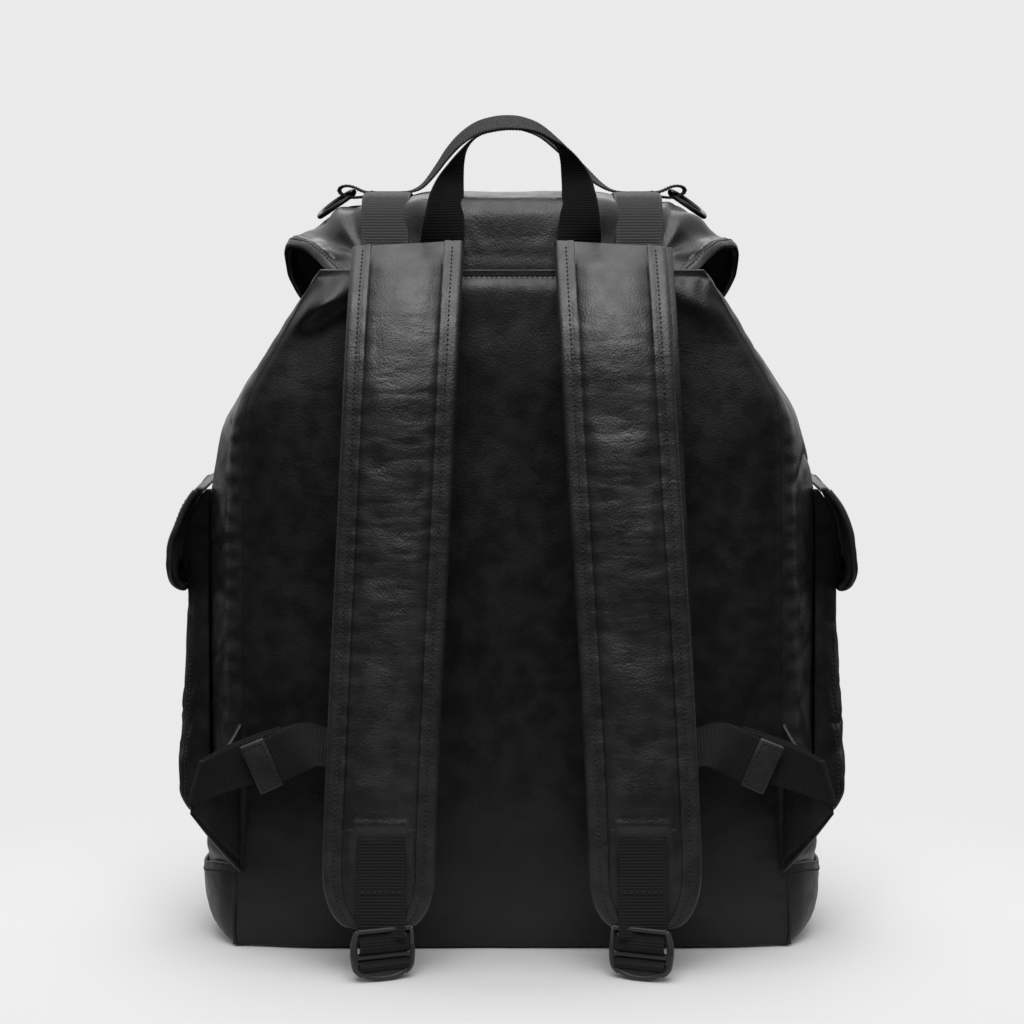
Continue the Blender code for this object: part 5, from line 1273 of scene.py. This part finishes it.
    # webbing tab over the strap's end, wrapping the buckle's top bar
    s_t = A([.850, .860, .878, .90, .925, .95, .975])
    tp, tn, td = strap_frame(s_t)
    off = A([.0040, .0046, .0050, .0056, .0062, .0074, .0086])
    tx = sx * .0700
    path = [(tx, *(tp[i] + tn[i] * off[i])[1:]) for i in range(len(s_t))]
    q1, n1, _ = strap_frame(A([1.0]))
    bar_y = float((q1[0] + n1[0] * .0098)[1]) + .0030
    lo_, hi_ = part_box("ladder_lock_" + side)
    bar_y = (lo_[1] + hi_[1]) / 2
    bar_z = hi_[2] - .0016
    for k in range(11):
        an = math.radians(-188 + 215 * k / 10)
        path.append((tx, bar_y + .0031 * math.cos(an), bar_z + .0031 * math.sin(-an) * -1))
    path[len(s_t):] = [(tx, bar_y + .0031 * math.cos(math.radians(g)), bar_z + .0031 * math.sin(math.radians(g))) for g in np.linspace(170, 375, 11)]
    rows = [(*p, 1, 0, 0) for p in path]
    b = Build("strap_tab_tape_" + side)
    C, W, N = ribbon(b, rows, .0264, .0012, WEBBING_MID, A([0, -1.0, 0]))
    L = arclen(C)
    for dist_, in ((.0022,), (.0365,)):
        k = int(np.searchsorted(L, dist_))
        xs = np.linspace(-.0115, .0115, 60)
        row = C[k][None] + W[k][None] * xs[:, None] + N[k][None] * .0008
        stitches(b, row, np.tile(N[k], (60, 1)), THREAD, .0030, .0024, .00050, .0002)
    b.make("strap_" + side, "webbing", ["strap_tab_" + side])

    # ladder-lock buckle: bowed plastic frame with three bars and a lip, turned a little towards the middle of the bag
    yaw = sx * math.radians(24)
    cy_, sy_ = math.cos(yaw), math.sin(yaw)

    def turn(q, c=(tx, bar_y)):
        q = A(q, float)
        x, y = q[..., 0] - c[0], q[..., 1] - c[1]
        r = q.copy()
        r[..., 0], r[..., 1] = c[0] + x * cy_ + y * sy_, c[1] - x * sy_ + y * cy_
        return r

    b = Build("ladder_lock_plastic_" + side)
    w, zt = .0150, bar_z
    line = np.linspace(-w, w, 9)
    tube(b, [(tx + q * .9, bar_y, zt) for q in line], .0014, PLASTIC, 14)
    tube(b, turn([(tx + q, bar_y - .0050, zt + .0040) for q in line]), .0013, PLASTIC, 14)
    tube(b, turn([(tx + q, bar_y - .0026, zt - .0104) for q in line]), .0019, PLASTIC, 14)
    for sg in (-1, 1):
        arm = [(tx + sg * w, bar_y - .0050, zt + .0042), (tx + sg * (w + .0008), bar_y - .0030, zt + .0008), (tx + sg * (w + .0014), bar_y - .0020, zt - .0050),
               (tx + sg * (w + .0014), bar_y - .0026, zt - .0110), (tx + sg * (w + .0004), bar_y - .0034, zt - .0165), (tx + sg * (w - .0030), bar_y - .0042, zt - .0198)]
        C = at(arm, np.linspace(0, 1, 40))
        tube(b, turn(C), A(np.interp(np.linspace(0, 1, 40), [0, .15, .5, .9, 1], [.0013, .0017, .0021, .0020, .0017])), PLASTIC, 14)
    q = np.linspace(-1, 1, 41)
    dome = np.clip(1 - np.abs(q) ** 2.4, 0, 1)
    lip = np.stack([tx + q * (w - .0026), bar_y - .0040 - .0014 * dome, zt - .0188 - .0032 * dome], -1)
    lip[:, 2] = np.maximum(lip[:, 2], .0016)
    tube(b, turn(lip), .0015, PLASTIC, 14)
    u_, v_ = np.meshgrid(np.linspace(-1, 1, 41), np.linspace(0, 1, 10), indexing="ij")
    dome = np.clip(1 - np.abs(u_) ** 2.4, 0, 1)
    LPp = np.stack([tx + u_ * (w - .0024), bar_y - .0038 - .0016 * dome * v_, np.maximum(zt - .0165 - v_ * (.0020 + .0034 * dome), .0014)], -1)
    thick(b, turn(LPp), .0009, -.0011, (0, -1, 0), PLASTIC, k=5)
    b.make("buckle_" + side, "plastic", ["ladder_lock_" + side])

    # webbing threaded round the middle bar
    mz, my = bar_z - .0104, bar_y - .0026
    TH_ = [(tx, my + .0085, mz + .0115), (tx, my + .0030, mz + .0128), (tx, my - .0008, mz + .0118), (tx, my - .0026, mz + .0090), (tx, my - .0030, mz + .0060), (tx, my - .0030, mz + .0036), (tx, my - .0012, mz + .0022), (tx, my + .0016, mz + .0006),
           (tx, my + .0012, mz - .0018), (tx, my - .0014, mz - .0030), (tx, my - .0034, mz - .0046), (tx, my - .0032, mz - .0066), (tx, my - .0004, mz - .0080), (tx, my + .0040, mz - .0078), (tx, my + .0088, mz - .0066)]
    b = Build("threaded_webbing_tape_" + side)
    TH_ = turn(TH_)
    ribbon(b, [(*p, cy_, -sy_, 0) for p in TH_], .0284, .0011, WEBBING_MID, A([0, -1.0, 0]))
    b.make("buckle_" + side, "webbing", ["threaded_webbing_" + side])

    # lower webbing to the side anchor
    LW = [(.0697, bar_y + .0150, .0200, 1, 0, 0), (.0705, -.1150, .0480, 1, -.10, -.10), (.0750, -.1095, .0780, .85, -.35, -.30), (.0850, -.1060, .1035, .45, -.75, -.35), (.0950, -.1045, .1160, .15, -.84, -.48),
          (.1034, -.1035, .1195, .02, -.76, -.62), (.1100, -.1030, .1192, -.05, -.50, -.85), (.1170, -.1025, .1178, -.10, -.22, -.97), (.1245, -.1020, .1151, -.10, -.08, -.98), (.1340, -.1012, .1122, 0, -.08, -.99),
          (.1429, -.1005, .1094, .08, -.06, -.99), (.1578, -.0990, .1038, .14, -.04, -.98), (.1723, -.0972, .0967, .28, 0, -.96)]
    rows = [(sx * x, y, z, sx * ax, ay, az) for x, y, z, ax, ay, az in LW]
    b = Build("lower_webbing_tape_" + side)
    C, W, N = ribbon(b, rows, .0262, .0013, WEBBING_MID, A([0, -1.0, 0]))
    # the turned-back layer under it, a little lower, and the folded end round the anchor
    rows2 = [(sx * x, y + .0027, z + .0013, sx * ax, ay, az) for x, y, z, ax, ay, az in LW[8:]]
    e = rows2[-1]
    ribbon(b, rows2, .0256, .0013, WEBBING_MID, A([0, -1.0, 0]))
    fold = rows[-1]
    tube(b, at([(fold[0] + fold[3] * q, fold[1] + fold[4] * q + .0013, fold[2] + fold[5] * q) for q in (-.0128, 0, .0128)], np.linspace(0, 1, 14)), .0021, WEBBING_MID, 10)
    b.make(None, "webbing", ["lower_webbing_" + side], ("bag", "strap_" + side, (sx * .1600, -.098, .100), (sx * .0900, -.105, .100)))

    # loose tail and its leather tip
    sd = unit(A([sx * .915, .02, -.403]))
    ac = unit(A([sx * .403, 0, .915]))
    tip = A([sx * .1355, -.1066, .1085])
    rows = []
    for (x, y, z), k in (((.1392, -.1069, .1068), 0), ((.1340, -.1068, .1092), 0), ((.1285, -.1066, .1117), 0), ((.1228, -.1060, .1145), 0), ((.1170, -.1054, .1172), .25),
                        ((.1110, -.1056, .1188), .6), ((.1050, -.1060, .1192), .9), ((.0990, -.1064, .1180), 1)):
        rows.append((sx * x, y, z, *unit(-ac * (1 - k) + A([sx * .02, -.74, -.64]) * k)))
    b = Build("webbing_tail_tape_" + side)
    ribbon(b, rows, .0262, .0011, WEBBING_MID, A([0, -1.0, 0]))
    b.make("tail_" + side, "webbing", ["webbing_tail_" + side])
    b = Build("tail_tip_leather_" + side)
    R = np.stack([sd, [0, 1, 0], ac], 1)
    rbox(b, tip + A([0, 0, 0]), (.0142, .0036, .0285), LEATHER_EDGE, R, bevel=.0011, seg=3)
    fn = A([0, -1.0, 0])
    w2, h2 = .0050, .0120
    loop_ = [tip + sd * x + ac * z + fn * .0018 for x, z in ((-w2, -h2), (w2, -h2), (w2, h2), (-w2, h2), (-w2, -h2))]
    dense = np.vstack([np.linspace(loop_[i], loop_[i + 1], 14)[:-1] for i in range(4)] + [loop_[4:5]])
    stitches(b, dense, np.tile(fn, (len(dense), 1)), THREAD, .0029, .0021, .00040, .0001)
    b.make("tail_" + side, "leather", ["tail_tip_" + side])

    # leather anchor in the side seam
    u_, v_ = np.meshgrid(np.linspace(0, 1, 30), np.linspace(0, 1, 50), indexing="ij")
    i0, i1 = A([sx * .1500, BACK_Y - .0012, .1262]), A([sx * .1508, BACK_Y - .0012, .0425])
    o0, o1 = A([sx * .1715, -.0945, .1056]), A([sx * .1762, -.0946, .0796])
    a0 = i0 + (i1 - i0) * v_[..., None]
    a1 = o0 + (o1 - o0) * v_[..., None]
    P = a0 + (a1 - a0) * u_[..., None]
    P[..., 2] -= .0100 * 4 * u_ * (1 - u_) * .55 * (1 - v_) ** 2
    P = P + A([0, -.0034, 0]) * np.sin(u_ * math.pi)[..., None]
    b = Build("strap_anchor_leather_" + side)
    P[..., 1] += fbm(P, (40, 40, 40), 2) * .0007 * np.sin(u_ * math.pi)
    bandv = sstep((v_ - .935) / .012)
    top = thick(b, P, .0009 + .0008 * bandv - .0004 * np.exp(-((v_ - .93) / .012) ** 2), -.0010, (0, -1, 0), LEATHER, k=5)
    n_ = grid_normals(top)
    n_ = n_ if n_[..., 1].sum() < 0 else -n_
    stitches(b, top[2:-2, 44], n_[2:-2, 44], THREAD)
    b.make("bag", "leather", ["strap_anchor_" + side])

# ------------------------------------------------ carried-over CAD material
for name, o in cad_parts.items():
    if not o.hide_render:
        o.data.materials.clear()
        o.data.materials.append(BOARD if name == "base_board" else LEATHER)

# ------------------------------------------------------------ camera, stage
cam = bpy.data.cameras.new("camera")
cam.sensor_width = 36.0
cam.lens = 109.65
camera = bpy.data.objects.new("camera", cam)
camera.location = (0, -1.775, .42)
camera.rotation_euler = (math.radians(90 - 5.92), 0, 0)
bpy.context.scene.collection.objects.link(camera)
bpy.context.scene.camera = camera
bpy.context.scene.view_settings.view_transform = "Standard"

PALE = .825
me = bpy.data.meshes.new("floor")
r = 40.0
me.from_pydata([(-r, -r, 0), (r, -r, 0), (r, r, 0), (-r, r, 0)], [], [(0, 1, 2, 3)])
floor = bpy.data.objects.new("floor", me)
bpy.context.scene.collection.objects.link(floor)
floor.location = (0, 0, -.0002)
n = Nodes("floor_pale")
pos = n.nt.nodes.new("ShaderNodeVectorMath")
pos.operation = "LENGTH"
n.link(n.coord, pos.inputs[0])
far = n.ramp(pos.outputs["Value"], 0, 1, .12, .48)
lpf = n.nt.nodes.new("ShaderNodeLightPath")
em = n.nt.nodes.new("ShaderNodeEmission")
n.link(lpf.outputs["Is Camera Ray"], em.inputs["Strength"])
em.inputs["Color"].default_value = (PALE, PALE, PALE * 1.005, 1)
mixs = n.nt.nodes.new("ShaderNodeMixShader")
n.link(far, mixs.inputs[0])
n.link(n.bsdf.outputs[0], mixs.inputs[1])
n.link(em.outputs[0], mixs.inputs[2])
out_ = next(q for q in n.nt.nodes if q.type == "OUTPUT_MATERIAL")
n.link(mixs.outputs[0], out_.inputs["Surface"])
n.set(Base_Color=(.508, .508, .512), Roughness=.8, Specular_IOR_Level=.15)
me.materials.append(n.mat)

# world: pale to the camera; for lighting, bright above, at the sides and behind the bag, darker from the wearer's side
world = bpy.data.worlds.new("studio")
bpy.context.scene.world = world
world.use_nodes = True
nt = world.node_tree
bg = next(q for q in nt.nodes if q.type == "BACKGROUND")
tc = nt.nodes.new("ShaderNodeTexCoord")
sep = nt.nodes.new("ShaderNodeSeparateXYZ")
nt.links.new(tc.outputs["Generated"], sep.inputs[0])


def mrange(v, a, b, lo, hi):
    q = nt.nodes.new("ShaderNodeMapRange")
    q.interpolation_type = "SMOOTHSTEP"
    for k, x in (("From Min", lo), ("From Max", hi), ("To Min", a), ("To Max", b)):
        q.inputs[k].default_value = x
    nt.links.new(v, q.inputs["Value"])
    return q.outputs["Result"]


def madd(a, b_, op="ADD"):
    q = nt.nodes.new("ShaderNodeMath")
    q.operation = op
    for i, x in enumerate((a, b_)):
        if isinstance(x, (int, float)):
            q.inputs[i].default_value = x
        else:
            nt.links.new(x, q.inputs[i])
    return q.outputs[0]


up = mrange(sep.outputs["Z"], 0, 1.1, .26, .92)
rear = mrange(sep.outputs["Y"], 0, .80, -.05, .60)
ax = madd(sep.outputs["X"], 0, "ABSOLUTE")
sides = madd(mrange(ax, 0, .42, .72, .98), mrange(sep.outputs["Z"], 0, 1, -.1, .2), "MULTIPLY")
total = madd(madd(madd(up, rear), sides), .05)
lp = nt.nodes.new("ShaderNodeLightPath")
val = nt.nodes.new("ShaderNodeMix")
val.data_type = "FLOAT"
nt.links.new(lp.outputs["Is Camera Ray"], val.inputs[0])
nt.links.new(total, val.inputs[2])
val.inputs[3].default_value = PALE
nt.links.new(val.outputs[0], bg.inputs["Strength"])
bg.inputs["Color"].default_value = (1, 1, 1.005, 1)


def area(name, loc, target, size, energy, shape="RECTANGLE", size_y=None):
    d = bpy.data.lights.new(name, "AREA")
    d.shape = shape
    d.size = size
    if size_y:
        d.size_y = size_y
    d.energy = energy
    o = bpy.data.objects.new(name, d)
    o.location = loc
    o.rotation_euler = (Vector(target) - Vector(loc)).to_track_quat("-Z", "Y").to_euler()
    bpy.context.scene.collection.objects.link(o)
    o.visible_camera = False
    return o


area("top_soft", (0, -.20, 1.95), (0, -.05, .2), 1.3, 12, size_y=.9)
area("rear_soft", (0, -1.14, 1.42), (0, -.10, .30), 1.0, 21, size_y=1.15)
area("front_soft", (0, 1.5, 1.6), (0, 0, .2), 1.2, 10, size_y=.9)
